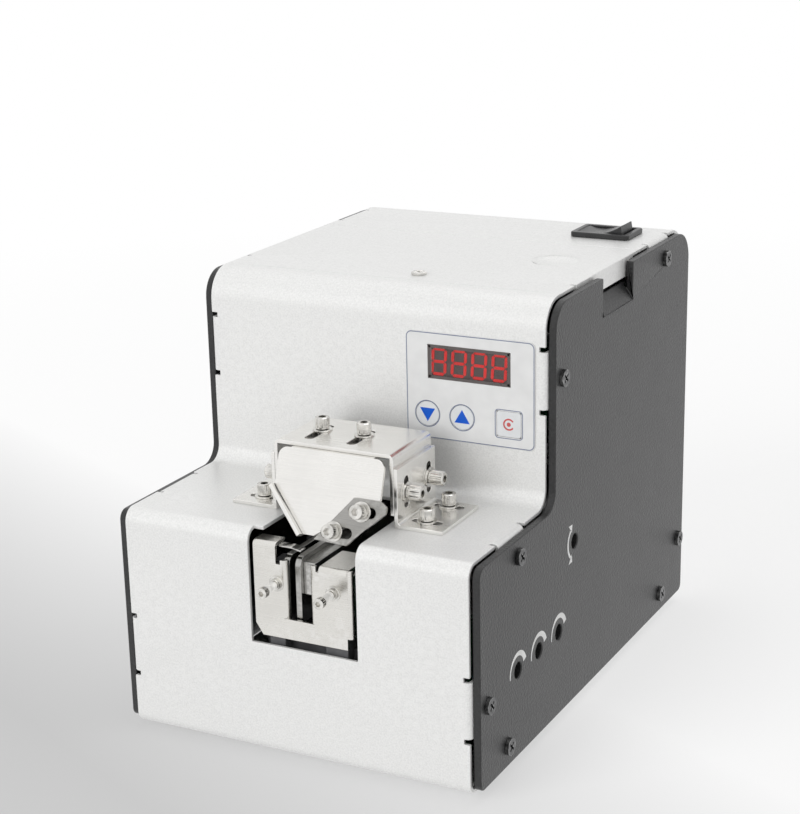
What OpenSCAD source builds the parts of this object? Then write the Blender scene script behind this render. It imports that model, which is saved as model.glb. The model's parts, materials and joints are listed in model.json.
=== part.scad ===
// Automatic screw feeder: a stepped sheet-metal cabinet that lifts loose screws
// out of a chamber under its lid and carries them on a pair of rails to a slot in
// the front. Millimetres. +X right, +Y back, +Z up. The origin is the centre of
// the footprint, on the plane that the rubber feet stand on.

/* [Cabinet] */
// Width over the two side plates
body_w = 123; // [110:1:150]
// Depth of a side plate
plate_depth = 174; // [165:1:200]
// Height of a side plate
plate_h = 134; // [128:1:160]
// Height of the front shelf above the bottom edge of a side plate
shelf_h = 70; // [68:1:76]
// Depth of the front shelf
step_y = 55; // [52:1:62]
// Thickness of a side plate
plate_t = 2.4; // [1.5:0.1:3.2]
// Thickness of the cabinet's sheet steel
sheet_t = 1.2; // [0.8:0.1:1.6]
// Gap between the edge of the sheet and a side plate
edge_gap = 0.5; // [0.3:0.1:1]
// Radius of the side plate's lower front corner
front_r = 3.2; // [2:0.1:5]
// Radius of the inner corner between shelf and upper front
shelf_r = 6.5; // [4:0.5:9]
// Radius of the corner between upper front and top
top_front_r = 8.5; // [5:0.5:9.5]
// Radius of the rear top corner
top_rear_r = 10; // [5:0.5:12]
// Radius of the two bottom corners
bottom_r = 2.5; // [1.5:0.1:4]
// Height of a rubber foot
foot_h = 3; // [2:0.5:10]
// Diameter of a rubber foot
foot_d = 12; // [8:0.5:16]
// Distance from the cabinet's edges to a foot's centre
foot_inset = 18; // [12:1:24]

/* [Side tabs and screws] */
// Length of a bent tab along the sheet's edge
tab_len = 18; // [14:1:22]
// Depth of a tab measured into the cabinet
tab_depth = 10; // [8:0.5:12]
// Distance of a tab's screw from the sheet
tab_hole = 5.4; // [4:0.1:7]
// Width of the relief notch at each end of a tab
relief_w = 1.6; // [1:0.1:2.5]
// Outer radius of a tab's bend
tab_bend_r = 1.9; // [1.7:0.1:2.5]
// Diameter of a side plate screw's shank
side_screw_d = 3; // [2.5:0.5:4]
// Diameter of a side plate screw's head
side_head_d = 5.4; // [4.5:0.1:7.5]
// Height of a side plate screw's head
side_head_h = 1.3; // [0.8:0.1:2]

/* [Lid] */
// Distance from the upper front to the lid's front edge
lid_front = 10; // [9.8:0.1:12]
// Distance from the lid's rear edge to the plates' rear edge
lid_back = 42.7; // [40:0.1:46]
// Gap in front of the lid
lid_front_gap = 0.15; // [0.1:0.05:0.5]
// Gap behind the lid
lid_rear_gap = 0.5; // [0.45:0.05:1]
// Height of the lid's side lips below the top face
lip_h = 6.6; // [6:0.2:8]
// Where the side lips begin behind the lid's front edge
lip_front = 13; // [9:1:19]
// Distance of the lid's pivot from its rear edge
pivot_back = 8; // [7:0.5:10]
// Distance of the lid's pivot below the top face
pivot_down = 2.8; // [2.6:0.1:3.4]
// Diameter of a lid pivot pin
pivot_d = 2.4; // [2:0.1:2.6]
// Radial clearance of running fits
run_clear = 0.06; // [0.03:0.01:0.1]
// Diameter of the dished finger pull
pull_d = 16; // [12:0.5:20]
// Depth of the finger pull's dish
pull_h = 1.6; // [1.2:0.1:2.5]
// Width of the finger notch in each side plate
notch_w = 26; // [20:1:30]
// Depth of the finger notch
notch_h = 12.4; // [10:0.2:14]
// How far the notch's sloping wall leans in at its top
notch_lean = 3.7; // [3:0.1:4.5]

/* [Rails and pick-up opening] */
// Sideways position of the gap between the rails
gap_x = -1; // [-3:0.5:3]
// Width of the gap between the rails
rail_gap = 2; // [1:0.1:3]
// Thickness of a rail
rail_t = 1.9; // [1.5:0.1:2.5]
// Depth of the rails' top below the shelf
rail_drop = 6.5; // [5.6:0.1:7.5]
// Height of the rails' blades
rail_blade_h = 21; // [18:0.5:22]
// Where the rails begin behind the plates' front
rail_y0 = 2; // [1.7:0.1:4]
// Left edge of the opening in the front face
open_x0 = -14.4; // [-16:0.2:-13.8]
// Right edge of the opening
open_x1 = 22.2; // [21.4:0.2:25]
// Depth of the opening below the shelf
open_h = 35; // [34:0.5:38]
// How far the opening runs back across the shelf
open_back = 42; // [36:1:43]
// Thickness of the stainless guide sheets
guide_t = 1.2; // [0.8:0.1:1.5]
// Left edge of the front plate
fp_x0 = -13.4; // [-13.6:0.1:-12]
// Right edge of the front plate
fp_x1 = 20.3; // [18:0.1:21]
// Depth of the front plate's lower edge below the shelf
fp_h = 32.6; // [31:0.1:33.6]
// Depth of the front plate's left shoulder below the shelf
fp_left_drop = 2.2; // [1.6:0.1:3.6]
// Depth of the front plate's right shoulder below the shelf
fp_right_drop = 7.4; // [7:0.1:9]
// Width of the slot in the front plate
slot_w = 7.8; // [7:0.1:8.5]
// Depth of the slot's lower end below the shelf
slot_depth = 26.1; // [24:0.1:28]
// How far the front plate's screws stand out
stud_reach = 9.2; // [7:0.1:11]
// Depth of the front plate's screws below the shelf
stud_drop = 15; // [13:0.5:18]
// Diameter of the front plate's screws
stud_d = 2.4; // [2:0.1:3]
// Diameter of their heads
stud_head_d = 3.4; // [3:0.1:4.5]

/* [Hood and shield] */
// Left face of the hood
hood_x0 = -15.2; // [-16:0.1:-14.5]
// Width of the hood
hood_w = 40.6; // [40:0.1:42]
// Front edge of the hood
hood_y0 = 17.8; // [17:0.1:20]
// Length of the hood
hood_len = 25.6; // [24:0.1:27]
// Height of the hood's top above the shelf
hood_rise = 24; // [23:0.1:27]
// Height of the hood's sides
hood_h = 19; // [17:0.1:20]
// Width of a bracket's foot beyond the hood
foot_w = 14.6; // [12:0.1:16]
// Height of a bracket
bracket_h = 18.5; // [17:0.1:19.5]
// Width of every adjusting slot
slot_d = 3.1; // [2.9:0.1:3.4]
// Length of a bracket's slots
bracket_slot = 9.8; // [8.5:0.1:10.5]
// Length of the hood's top slots
hood_slot = 15; // [12:0.5:16]
// Half of the adjusting travel sideways and upwards
adjust = 3; // [2:0.1:3.2]
// Lean of the shield plate from upright
shield_tilt = 18; // [12:1:22]
// Left edge of the shield plate
shield_x0 = -12.3; // [-13:0.1:-11.5]
// Right edge of the shield plate
shield_x1 = 23.7; // [22.5:0.1:23.9]
// Length of the shield plate down its face
shield_len = 25.4; // [24:0.1:26]
// Diameter of the adjusting screws
cap_d = 2.5; // [2:0.5:2.5]
// Diameter of an adjusting screw's head
cap_head_d = 4.5; // [4:0.1:5.2]
// Height of an adjusting screw's head
cap_head_h = 3; // [2.5:0.1:3.6]
// Diameter of the plain washers
washer_d = 6.2; // [5:0.1:7]

/* [Controls] */
// Distance from the overlay's right edge to the side plate's outer face
panel_side = 6.1; // [5:0.1:7]
// Width of the display overlay
panel_w = 43.3; // [42.8:0.1:44]
// Depth of the overlay's lower edge below the plates' top edge
panel_drop = 45.7; // [44:0.1:47]
// Height of the display overlay
panel_h = 34.1; // [33:0.1:35]
// Thickness of the display overlay
panel_t = 0.4; // [0.3:0.05:0.8]
// Width of the display window
window_w = 27.8; // [26:0.1:28]
// Height of the display window
window_h = 10.8; // [10:0.1:11.5]
// Radius of the two round buttons
button_r = 3.9; // [3.5:0.1:4.1]
// Side of the square button
set_w = 8; // [7:0.1:8.4]
// Travel of a button
button_travel = 0.4; // [0.3:0.05:0.5]
// Length of the switch bezel
switch_l = 21; // [20:0.1:22]
// Width of the switch bezel
switch_w = 15; // [13:0.1:15.5]
// Rocking angle of the power switch to each side
rocker_tilt = 10; // [8:1:11]
// Diameter of the three trimmer holes
trim_hole = 5.2; // [4:0.1:6]
// Spacing of the three trimmers
trim_pitch = 15.7; // [14:0.1:17]

/* [Feeding mechanism] */
// Radius of the lifting drum
drum_r = 22.5; // [20:0.5:23]
// Number of paddles in the drum
paddles = 6; // [4:1:8]
// Height of the drum's axis below the rails' top
drum_drop = 7.5; // [6.5:0.5:8.5]
// Thickness of the chamber's walls
wall_t = 1.5; // [1.2:0.1:2]
// Radius of the roller brush
brush_r = 8.6; // [7:0.1:8.8]
// Diameter of the drum's and the brush's shafts
shaft_d = 3; // [2.5:0.1:4]
// Radius of both belt pulleys
pulley_r = 6; // [5:0.5:7]

/* [Hidden] */
$fn = 48;
eps = 0.01;
slide_gap = 0.02;

// frame: y from the plates' front edge and z from their bottom edge are moved so
// that the whole object's box is centred and stands on z = 0
inlet_nut_h = 2.2;
frame_y = -(plate_depth + sheet_t + inlet_nut_h - stud_reach) / 2;
frame_z = foot_h + sheet_t;

// cabinet
lid_y0 = step_y + lid_front;
lid_y1 = plate_depth - lid_back;
lip_y0 = lid_y0 + lip_front;
plate_x = body_w / 2 - plate_t;
sheet_x = plate_x - edge_gap;
// each tab: turn about X that points it inwards, then its y and z
front_tabs = [[0, 0, 26], [-90, 27.5, shelf_h], [0, step_y, plate_h - 23.5]];
rear_tabs = [[-90, plate_depth - 24, plate_h], [180, plate_depth, 21.6]];
base_tabs = [[90, 19.3, sheet_t], [90, plate_depth - 23.2, sheet_t]];
all_tabs = concat(front_tabs, rear_tabs, base_tabs);
bottom_lip = 24;
tab_lug_t = sheet_t;
side_hole_d = side_screw_d + 0.2;
side_shank_l = 6;

// lid
pivot_y = lid_y1 - pivot_back;
pivot_z = plate_h + sheet_t - pivot_down;
lid_ledge = 3;
lip_tail = 3.2;
pull_x = body_w / 2 - 22;
pull_y = lid_y1 - 24.6;
pull_cut = 3.4;
pull_wall = 0.9;
pull_ball_r = (pull_d * pull_d / 4 + pull_h * pull_h) / (2 * pull_h);
lid_screw_x = 7.5;
lid_screw_y = lid_y0 + 7.6;
notch_y0 = pull_y - notch_w / 2 - 0.5;
magnet = [13, 7.4, 5.6];

// heights that follow the shelf
rail_top = shelf_h - rail_drop;
open_z0 = shelf_h - open_h;
fp_z0 = shelf_h - fp_h;
fp_z_left = shelf_h - fp_left_drop;
fp_z_right = shelf_h - fp_right_drop;
slot_z0 = shelf_h - slot_depth;
stud_z = shelf_h - stud_drop;
hood_top = shelf_h + hood_rise;

// hood, brackets, shield
hood_x1 = hood_x0 + hood_w;
hood_mid = (hood_x0 + hood_x1) / 2;
hood_bend_r = 1.8;
shelf_top = shelf_h + sheet_t;
bracket_ys = [hood_y0 + 6.2, hood_y0 + 21.2];
bracket_side_z = shelf_top + 9.8;
foot_slot_x = foot_w / 2 - 0.6 + guide_t;
top_slot_xs = [hood_mid - 11, hood_mid + 3.5];
top_slot_y = hood_y0 + 11.8;
top_screw_y = top_slot_y + 2;
shield_y = hood_y0 - 1.6;
shield_z = hood_top - guide_t - slide_gap;
shield_lip = 2.2;
guide_pts = [[3.6, 26.3], [14.8, 26.7], [26.6, 15.6], [26.6, 13.6], [24.4, 12.1], [15.6, 12.1]];
guide_slots = [[18.8, 16], [11.7, 23]];
guide_screw_xs = [18.7, 10.2];
guide_slot_l = 9;
washer_t = 0.5;
spring_t = 0.8;

// rails
left_rail_x = gap_x - rail_gap / 2 - rail_t;
right_rail_x = gap_x + rail_gap / 2;
rail_arc_r = 3;
drum_y = (lid_y0 + lid_y1) / 2;
drum_z = rail_top - drum_drop;
chamber_r = drum_r + 0.9;
chamber_y0 = drum_y - chamber_r - wall_t;
chamber_y1 = drum_y + chamber_r + wall_t;
gate_y = chamber_y0 - 2.45;
gate_z = rail_top - 9.1;
rail_y1 = drum_y + 14;
bar_w = 4.2;
bar_y1 = gate_y - 8.8;
slot_x0 = gap_x - 0.9;
left_flange = 6;
right_flange = 15;
slot_flange = 1.9;
slot_strip = 3.1;
side_flange = 4;
fp_bend_r = 1.5;
stud_head_h = 2.2;
base_top = fp_z0 - 1.4;
base_t = 5;
base_y0 = 5;
base_y1 = gate_y - 4.8;
mount_d = 9;
vibrator_x = (fp_x0 + fp_x1) / 2;
vibrator_z = base_top - base_t - 7;
mount_h = base_top - base_t - sheet_t;
stud_xs = [slot_x0 - 3.5, slot_x0 + slot_w + 8];
block_w = 7.6;
right_foot_w = 9;

// controls
panel_x0 = body_w / 2 - panel_side - panel_w;
panel_z0 = plate_h - panel_drop;
face_y = step_y - sheet_t;
window_x = panel_x0 + 7.5 + window_w / 2;
window_z = panel_z0 + 24.8;
down_x = panel_x0 + 7.2;
up_x = panel_x0 + 19;
round_z = panel_z0 + 7.9;
set_x = panel_x0 + 34.7;
set_z = panel_z0 + 7.6;
plunger_d = 3.2;
button_gap = 0.1;
tact_reach = 4.6;
board_y = step_y + 7;
switch_x = body_w / 2 - 21.1;
switch_y = plate_depth - 24.4;
switch_rim_h = 1.8;
rocker_w = 10.6;
rocker_l = 15.4;
rocker_gap = 0.3;
rocker_sink = 0.5;
rocker_rise = 3.6;
rocker_dip = 1.7;
rocker_dish_r = (rocker_l * rocker_l / 4 + rocker_dip * rocker_dip) / (2 * rocker_dip);
trim_y = 42.5;
trim_z = 28.3;
trim_rotor_d = trim_hole - 0.6;
board_x = plate_x - 9;
gate_d = 4;
gate_hole_d = 5;
gate_arm = 8;
gate_blade_t = 0.8;
inlet_x = 25.5 - body_w / 2;
inlet_z = 24;
inlet_d = 7.8;

// mechanism
pulley_w = 3;
motor_r = 12;
motor_len = 17.9;
motor_x0 = plate_x - 2 - motor_len;
pulley_x0 = motor_x0 - 2.6 - pulley_w;
chamber_x0 = gap_x - 17;
chamber_x1 = pulley_x0 - 0.6;
chamber_top = plate_h - 14;
chamber_flare_z = rail_top + 18.5;
drum_x0 = right_rail_x + rail_t + 5;
drum_x1 = chamber_x1 - wall_t - 2.6;
drum_len = drum_x1 - drum_x0;
drum_wall = 1.4;
brush_y = drum_y - 22;
brush_z = rail_top + brush_r + 0.4;
brush_x0 = gap_x - 6;
brush_len = 12;
belt_t = 1.2;

module place() { translate([0, frame_y, frame_z]) children(); }

// ---------------------------------------------------------------- helpers
// the material outside a quarter circle, cut from a convex corner at the origin;
// sy and sz point from the corner into the body
module corner_cut(r, sy, sz) {
  difference() {
    translate([sy > 0 ? -1 : -r, sz > 0 ? -1 : -r]) square([r + 1, r + 1]);
    translate([sy * r, sz * r]) circle(r);
  }
}

// the stepped side outline in y and z, moved outwards by g
module outline(g = 0) {
  fillet = shelf_r - g;
  difference() {
    union() {
      translate([-g, -g]) square([plate_depth + 2 * g, shelf_h + 2 * g]);
      translate([step_y - g, -g]) square([plate_depth - step_y + 2 * g, plate_h + 2 * g]);
      difference() {
        translate([step_y - g - fillet, shelf_h + g - eps]) square([fillet + eps, fillet + eps]);
        translate([step_y - g - fillet, shelf_h + g + fillet]) circle(fillet);
      }
    }
    translate([-g, -g]) corner_cut(bottom_r + g, 1, 1);
    translate([-g, shelf_h + g]) corner_cut(front_r + g, 1, -1);
    translate([step_y - g, plate_h + g]) corner_cut(top_front_r + g, 1, -1);
    translate([plate_depth + g, plate_h + g]) corner_cut(top_rear_r + g, -1, -1);
    translate([plate_depth + g, -g]) corner_cut(bottom_r + g, -1, 1);
  }
}

// a y-z outline extruded along X from x0 to x1
module across(x0, x1) {
  translate([x0, 0, 0]) rotate([90, 0, 90]) linear_extrude(x1 - x0) children();
}

// an x-z outline extruded along Y from y0 to y1
module along(y0, y1) {
  translate([0, y1, 0]) rotate([90, 0, 0]) linear_extrude(y1 - y0) children();
}

module box(lo, hi) { translate(lo) cube(hi - lo); }

module rod_x(x0, x1, y, z, d) { translate([x0, y, z]) rotate([0, 90, 0]) cylinder(h = x1 - x0, d = d); }
module rod_y(y0, y1, x, z, d) { translate([x, y1, z]) rotate([90, 0, 0]) cylinder(h = y1 - y0, d = d); }
module rod_z(z0, z1, x, y, d) { translate([x, y, z0]) cylinder(h = z1 - z0, d = d); }

// a rectangle centred on the origin with round corners
module round_rect(w, h, r) {
  square([w - 2 * r, h], center = true);
  square([w, h - 2 * r], center = true);
  for (x = [-1, 1], y = [-1, 1]) translate([x * (w / 2 - r), y * (h / 2 - r)]) circle(r);
}

// a slot with round ends, l long end to end along x
module slot2(l, d) {
  square([l - d, d], center = true);
  for (s = [-1, 1]) translate([s * (l - d) / 2, 0]) circle(d = d);
}

// both sides of the cabinet
module both_sides() {
  children();
  mirror([1, 0, 0]) children();
}

// puts a tab's local frame (y into the cabinet, z along the edge) on the sheet
module at_tab(t) { translate([0, t[1], t[2]]) rotate([t[0], 0, 0]) children(); }

// ---------------------------------------------------------------- cabinet sheet
module tab_cut() {
  box([plate_x - tab_bend_r, -sheet_t - 1, -tab_len / 2], [plate_x + 1, 1, tab_len / 2]);
  for (s = [-1, 1])
    translate([plate_x - tab_bend_r - 0.6, -sheet_t - 1, s * (tab_len + relief_w) / 2 - relief_w / 2])
      cube([tab_bend_r + 2, sheet_t + 2, relief_w]);
}

module tab_lug() {
  bend_y = tab_bend_r - sheet_t;
  translate([plate_x - tab_bend_r, bend_y, -tab_len / 2]) intersection() {
    difference() {
      cylinder(h = tab_len, r = tab_bend_r);
      translate([0, 0, -1]) cylinder(h = tab_len + 2, r = tab_bend_r - sheet_t);
    }
    translate([0, -tab_bend_r - 1, 0]) cube([tab_bend_r + 1, tab_bend_r + 1, tab_len]);
  }
  difference() {
    box([plate_x - tab_lug_t, bend_y, -tab_len / 2], [plate_x, tab_depth, tab_len / 2]);
    rod_x(plate_x - 5, plate_x + 5, tab_hole, 0, side_screw_d);
  }
}

// a stretch of the cabinet's sheet: clip children choose it from the full ring
module sheet_part(tabs) {
  difference() {
    across(-sheet_x, sheet_x) intersection() {
      difference() { outline(sheet_t); outline(0); }
      children();
    }
    both_sides() for (t = tabs) at_tab(t) tab_cut();
  }
  both_sides() for (t = tabs) at_tab(t) tab_lug();
}

module front_shell() {
  color("silver") place() difference() {
    union() {
      sheet_part(front_tabs) {
        translate([-5, 20]) square([lid_y0 - lid_front_gap + 5, plate_h]);
        translate([-5, -5]) square([bottom_lip + 5, 30]);
      }
      box([-sheet_x + 3, lid_y0 - 6, plate_h - 1.2], [sheet_x - 3, lid_y0 + lid_ledge, plate_h]);
    }
    box([open_x0, -5, open_z0], [open_x1, 3.3, shelf_h + 3]);
    box([open_x0 + 3.1, 3, shelf_h - 1], [open_x1, open_back, shelf_h + 3]);
    for (y = bracket_ys, s = [-1, 1])
      rod_z(shelf_h - 1, shelf_top + 1, hood_mid + s * (hood_w / 2 + foot_slot_x), y, cap_d + 0.1);
    along(face_y - 1, step_y + 1) {
      translate([window_x, window_z]) square([window_w - 2, window_h - 1.4], center = true);
      for (x = [down_x, up_x]) translate([x, round_z]) circle(button_r + button_gap);
      translate([set_x, set_z]) square(set_w + 2 * button_gap, center = true);
    }
  }
}

module rear_shell() {
  color("silver") place() difference() {
    sheet_part(rear_tabs) {
      translate([lid_y1 + lid_rear_gap, 12]) square([80, plate_h]);
      translate([plate_depth - bottom_lip, -5]) square([80, 30]);
    }
    box([switch_x - switch_l / 2 + 1, switch_y - switch_w / 2 + 1, plate_h - 5],
        [switch_x + switch_l / 2 - 1, switch_y + switch_w / 2 - 1, plate_h + 5]);
    rod_y(plate_depth - 2, plate_depth + 5, inlet_x, inlet_z, inlet_d + 0.2);
  }
}

module base_plate() {
  color("lightgray") place() {
    difference() {
      box([-sheet_x + 1, bottom_r + 0.5, 0], [sheet_x - 1, plate_depth - bottom_r - 0.5, sheet_t]);
      both_sides() for (t = base_tabs)
        box([plate_x - tab_bend_r, t[1] - tab_len / 2, -1], [plate_x, t[1] + tab_len / 2, 5]);
    }
    both_sides() for (t = base_tabs) at_tab(t) tab_lug();
  }
}

// ---------------------------------------------------------------- side plates
module side_plate_blank() {
  difference() {
    across(plate_x, plate_x + plate_t) outline(0);
    box([plate_x - 1, notch_y0, plate_h - notch_h], [plate_x + 5, notch_y0 + notch_w, plate_h + 1]);
    for (t = all_tabs) at_tab(t) rod_x(plate_x - 1, plate_x + 5, tab_hole, 0, side_hole_d);
  }
  // sloping wall behind the finger notch
  along(notch_y0, notch_y0 + notch_w) polygon([
    [body_w / 2, plate_h - notch_h - eps], [body_w / 2 - notch_lean, plate_h - lip_h - 0.2],
    [body_w / 2 - notch_lean - 1.2, plate_h - lip_h - 0.8], [plate_x, plate_h - notch_h - 1.2],
    [body_w / 2, plate_h - notch_h - 1.2]]);
}

module right_side_plate() {
  color([0.2, 0.2, 0.21]) place() difference() {
    side_plate_blank();
    for (i = [-1, 0, 1]) rod_x(plate_x - 1, plate_x + 5, trim_y + i * trim_pitch, trim_z, trim_hole);
    rod_x(plate_x - 1, plate_x + 5, gate_y, gate_z, gate_hole_d);
  }
}

module left_side_plate() { color([0.2, 0.2, 0.21]) place() mirror([1, 0, 0]) side_plate_blank(); }

module side_plate_screws() {
  x = body_w / 2;
  color([0.1, 0.1, 0.1]) place() both_sides() for (t = all_tabs) at_tab(t) {
    rod_x(x - side_shank_l, x, tab_hole, 0, side_screw_d - 0.1);
    difference() {
      rod_x(x, x + side_head_h, tab_hole, 0, side_head_d);
      for (a = [0, 90]) translate([x + side_head_h, tab_hole, 0]) rotate([a + 45, 0, 0])
        cube([1.6, side_head_d * 0.6, 0.7], center = true);
    }
  }
}

module rubber_feet() {
  color([0.08, 0.08, 0.08]) place() both_sides()
    for (y = [foot_inset, plate_depth - foot_inset])
      rod_z(-sheet_t - foot_h, -sheet_t, body_w / 2 - foot_inset, y, foot_d);
}

// ---------------------------------------------------------------- lid
// a ball resting in the finger pull's dish, grown by g
module pull_ball(g) {
  translate([pull_x, pull_y, plate_h + sheet_t - pull_h + pull_ball_r]) sphere(r = pull_ball_r + g, $fn = 96);
}

module lid() {
  top = plate_h + sheet_t;
  color("silver") place() {
    difference() {
      union() {
        box([-sheet_x, lid_y0, plate_h], [sheet_x, lid_y1, top]);
        intersection() {
          pull_ball(pull_wall);
          rod_z(plate_h - 3, top, pull_x, pull_y, pull_d + 4);
        }
      }
      pull_ball(0);
      // opening in the front of the dish
      intersection() {
        rod_z(plate_h - 4, top + 1, pull_x, pull_y, pull_d - 1);
        box([pull_x - pull_d, pull_y - pull_d, plate_h - 4], [pull_x + pull_d, pull_y - pull_cut, top + 1]);
      }
      rod_z(plate_h - 1, top + 1, lid_screw_x, lid_screw_y, 2.6);
      both_sides() box([sheet_x - 1.8, lip_y0 - 1.6, plate_h - 1], [sheet_x + 1, lip_y0, top + 1]);
    }
    both_sides() difference() {
      box([sheet_x - sheet_t, lip_y0, top - lip_h], [sheet_x, pivot_y + lip_tail, plate_h]);
      rod_x(sheet_x - 5, sheet_x + 5, pivot_y, pivot_z, pivot_d + 2 * run_clear);
    }
  }
}

module lid_pivot_pins() {
  color("gray") place() both_sides() rod_x(sheet_x - sheet_t - 1, plate_x, pivot_y, pivot_z, pivot_d);
}

module lid_screw() {
  color("gainsboro") place() difference() {
    union() {
      rod_z(plate_h - 4, plate_h + sheet_t, lid_screw_x, lid_screw_y, 2.4);
      rod_z(plate_h + sheet_t, plate_h + sheet_t + 0.9, lid_screw_x, lid_screw_y, 5);
    }
    for (a = [45, 135]) translate([lid_screw_x, lid_screw_y, plate_h + sheet_t + 0.9]) rotate(a)
      cube([3, 0.7, 1.2], center = true);
  }
}

module lid_magnet() {
  color([0.25, 0.25, 0.27]) place() difference() {
    translate([lid_screw_x - magnet[0] / 2, lid_screw_y - magnet[1] / 2 + 1.2, plate_h - magnet[2]]) cube(magnet);
    rod_z(plate_h - 4.1, plate_h + 1, lid_screw_x, lid_screw_y, 2.6);
  }
}

// ---------------------------------------------------------------- hood and brackets
module bracket_right() {
  x0 = hood_x1 + slide_gap;
  x1 = x0 + guide_t + foot_w;
  difference() {
    union() {
      box([x0, hood_y0, shelf_top], [x0 + guide_t, hood_y0 + hood_len, shelf_top + bracket_h]);
      box([x0, hood_y0, shelf_top], [x1, hood_y0 + hood_len, shelf_top + guide_t]);
      difference() {
        box([x0 + guide_t - eps, hood_y0, shelf_top + guide_t - eps],
            [x0 + guide_t + 1, hood_y0 + hood_len, shelf_top + guide_t + 1]);
        rod_y(hood_y0 - 1, hood_y0 + hood_len + 1, x0 + guide_t + 1, shelf_top + guide_t + 1, 2);
      }
    }
    for (y = bracket_ys) {
      translate([x0 - 1, y, bracket_side_z]) rotate([90, 0, 90])
        linear_extrude(5) rotate(90) slot2(bracket_slot, slot_d);
      translate([x0 + foot_slot_x, y, shelf_top - 1]) linear_extrude(5) slot2(bracket_slot, slot_d);
    }
  }
}

module mirror_hood() { translate([2 * hood_mid, 0, 0]) mirror([1, 0, 0]) children(); }
module right_bracket() { color("lightgray") place() bracket_right(); }
module left_bracket() { color("lightgray") place() mirror_hood() bracket_right(); }

module hood() {
  z0 = hood_top - hood_h;
  r = hood_bend_r;
  color("gainsboro") place() difference() {
    along(hood_y0, hood_y0 + hood_len) difference() {
      translate([hood_x0, z0]) square([hood_w, hood_h]);
      translate([hood_x0 + guide_t, z0 - 1]) square([hood_w - 2 * guide_t, hood_h + 1 - guide_t]);
      translate([hood_x0, hood_top]) corner_cut(r, 1, -1);
      translate([hood_x1, hood_top]) corner_cut(r, -1, -1);
    }
    for (x = top_slot_xs) translate([x, top_slot_y, hood_top - 3]) linear_extrude(6) rotate(90)
      slot2(hood_slot, slot_d);
    for (y = bracket_ys) rod_x(hood_x0 - 1, hood_x1 + 1, y, bracket_side_z, cap_d + 0.1);
  }
}

// a socket-head cap screw with plain and spring washers, standing on z = 0
module cap_screw(shank, head_h) {
  z1 = washer_t + spring_t;
  cylinder(h = washer_t, d = washer_d);
  translate([0, 0, washer_t - eps]) cylinder(h = spring_t + 2 * eps, d = cap_head_d - 0.3);
  difference() {
    translate([0, 0, z1]) cylinder(h = head_h, d = cap_head_d);
    translate([0, 0, z1 + head_h - 1.5]) cylinder(h = 2, d = cap_d, $fn = 6);
  }
  translate([0, 0, -shank]) cylinder(h = shank + eps, d = cap_d);
}

module bracket_foot_screws() {
  color("whitesmoke") place() for (y = bracket_ys, s = [-1, 1])
    translate([hood_mid + s * (hood_w / 2 + foot_slot_x), y, shelf_top + guide_t + slide_gap]) cap_screw(4.5, cap_head_h);
}

module hood_side_screws() {
  x = hood_x1 + guide_t + 2 * slide_gap;
  color("whitesmoke") place() for (y = bracket_ys) {
    translate([x, y, bracket_side_z]) rotate([0, 90, 0]) cap_screw(3.6, cap_head_h + 1);
    mirror_hood() translate([x, y, bracket_side_z]) rotate([0, 90, 0]) cap_screw(3.6, cap_head_h + 1);
  }
}

// the shield's own plane: x across, y down its face, z out of its front
module on_shield() {
  translate([0, shield_y, shield_z]) rotate([90 - shield_tilt, 0, 0]) mirror([0, 1, 0]) children();
}

module shield_outline() {
  r = 3;
  difference() {
    polygon([[shield_x0, 0], [shield_x1, 0], [shield_x1, shield_len / 2 - 0.5], [3, shield_len],
             [-0.6, shield_len], [shield_x0, shield_len / 2 - 1.2]]);
    translate([shield_x0, 0]) corner_cut(r, 1, 1);
    translate([shield_x1, 0]) corner_cut(r, -1, 1);
  }
}

module shield_plate() {
  y1 = top_slot_y + hood_slot / 2 + 1;
  // guide lip along the lower left edge
  p = [shield_x0, shield_len / 2 - 1.2];
  q = [-0.6, shield_len];
  a = atan2(q[1] - p[1], q[0] - p[0]);
  l = norm(q - p);
  color("gainsboro") place() difference() {
    union() {
      on_shield() translate([0, 0, -guide_t]) linear_extrude(guide_t) shield_outline();
      on_shield() translate([p[0], p[1], -guide_t]) rotate(a)
        translate([0, 0, 0]) cube([l, guide_t, guide_t + shield_lip]);
      box([shield_x0 + 4, shield_y, shield_z - guide_t], [shield_x1 - 4, y1, shield_z]);
    }
    for (x = top_slot_xs) rod_z(shield_z - 3, shield_z + 3, x, top_screw_y, cap_d + 0.1);
    on_shield() for (i = [0, 1])
      translate([guide_screw_xs[i], guide_slots[i][1], -5]) cylinder(h = 10, d = cap_d + 0.1);
  }
}

module shield_top_screws() {
  color("whitesmoke") place() for (x = top_slot_xs)
    translate([x, top_screw_y, hood_top + slide_gap]) cap_screw(4.2, cap_head_h);
}

module guide_screws() {
  color("whitesmoke") place() on_shield() for (i = [0, 1])
    translate([guide_screw_xs[i], guide_slots[i][1], guide_t + 2 * slide_gap]) cap_screw(3.6, cap_head_h);
}

module guide_plate() {
  color("silver") place() on_shield() translate([0, 0, slide_gap]) linear_extrude(guide_t) difference() {
    polygon(guide_pts);
    for (s = guide_slots) translate(s) slot2(guide_slot_l, slot_d);
  }
}

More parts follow.
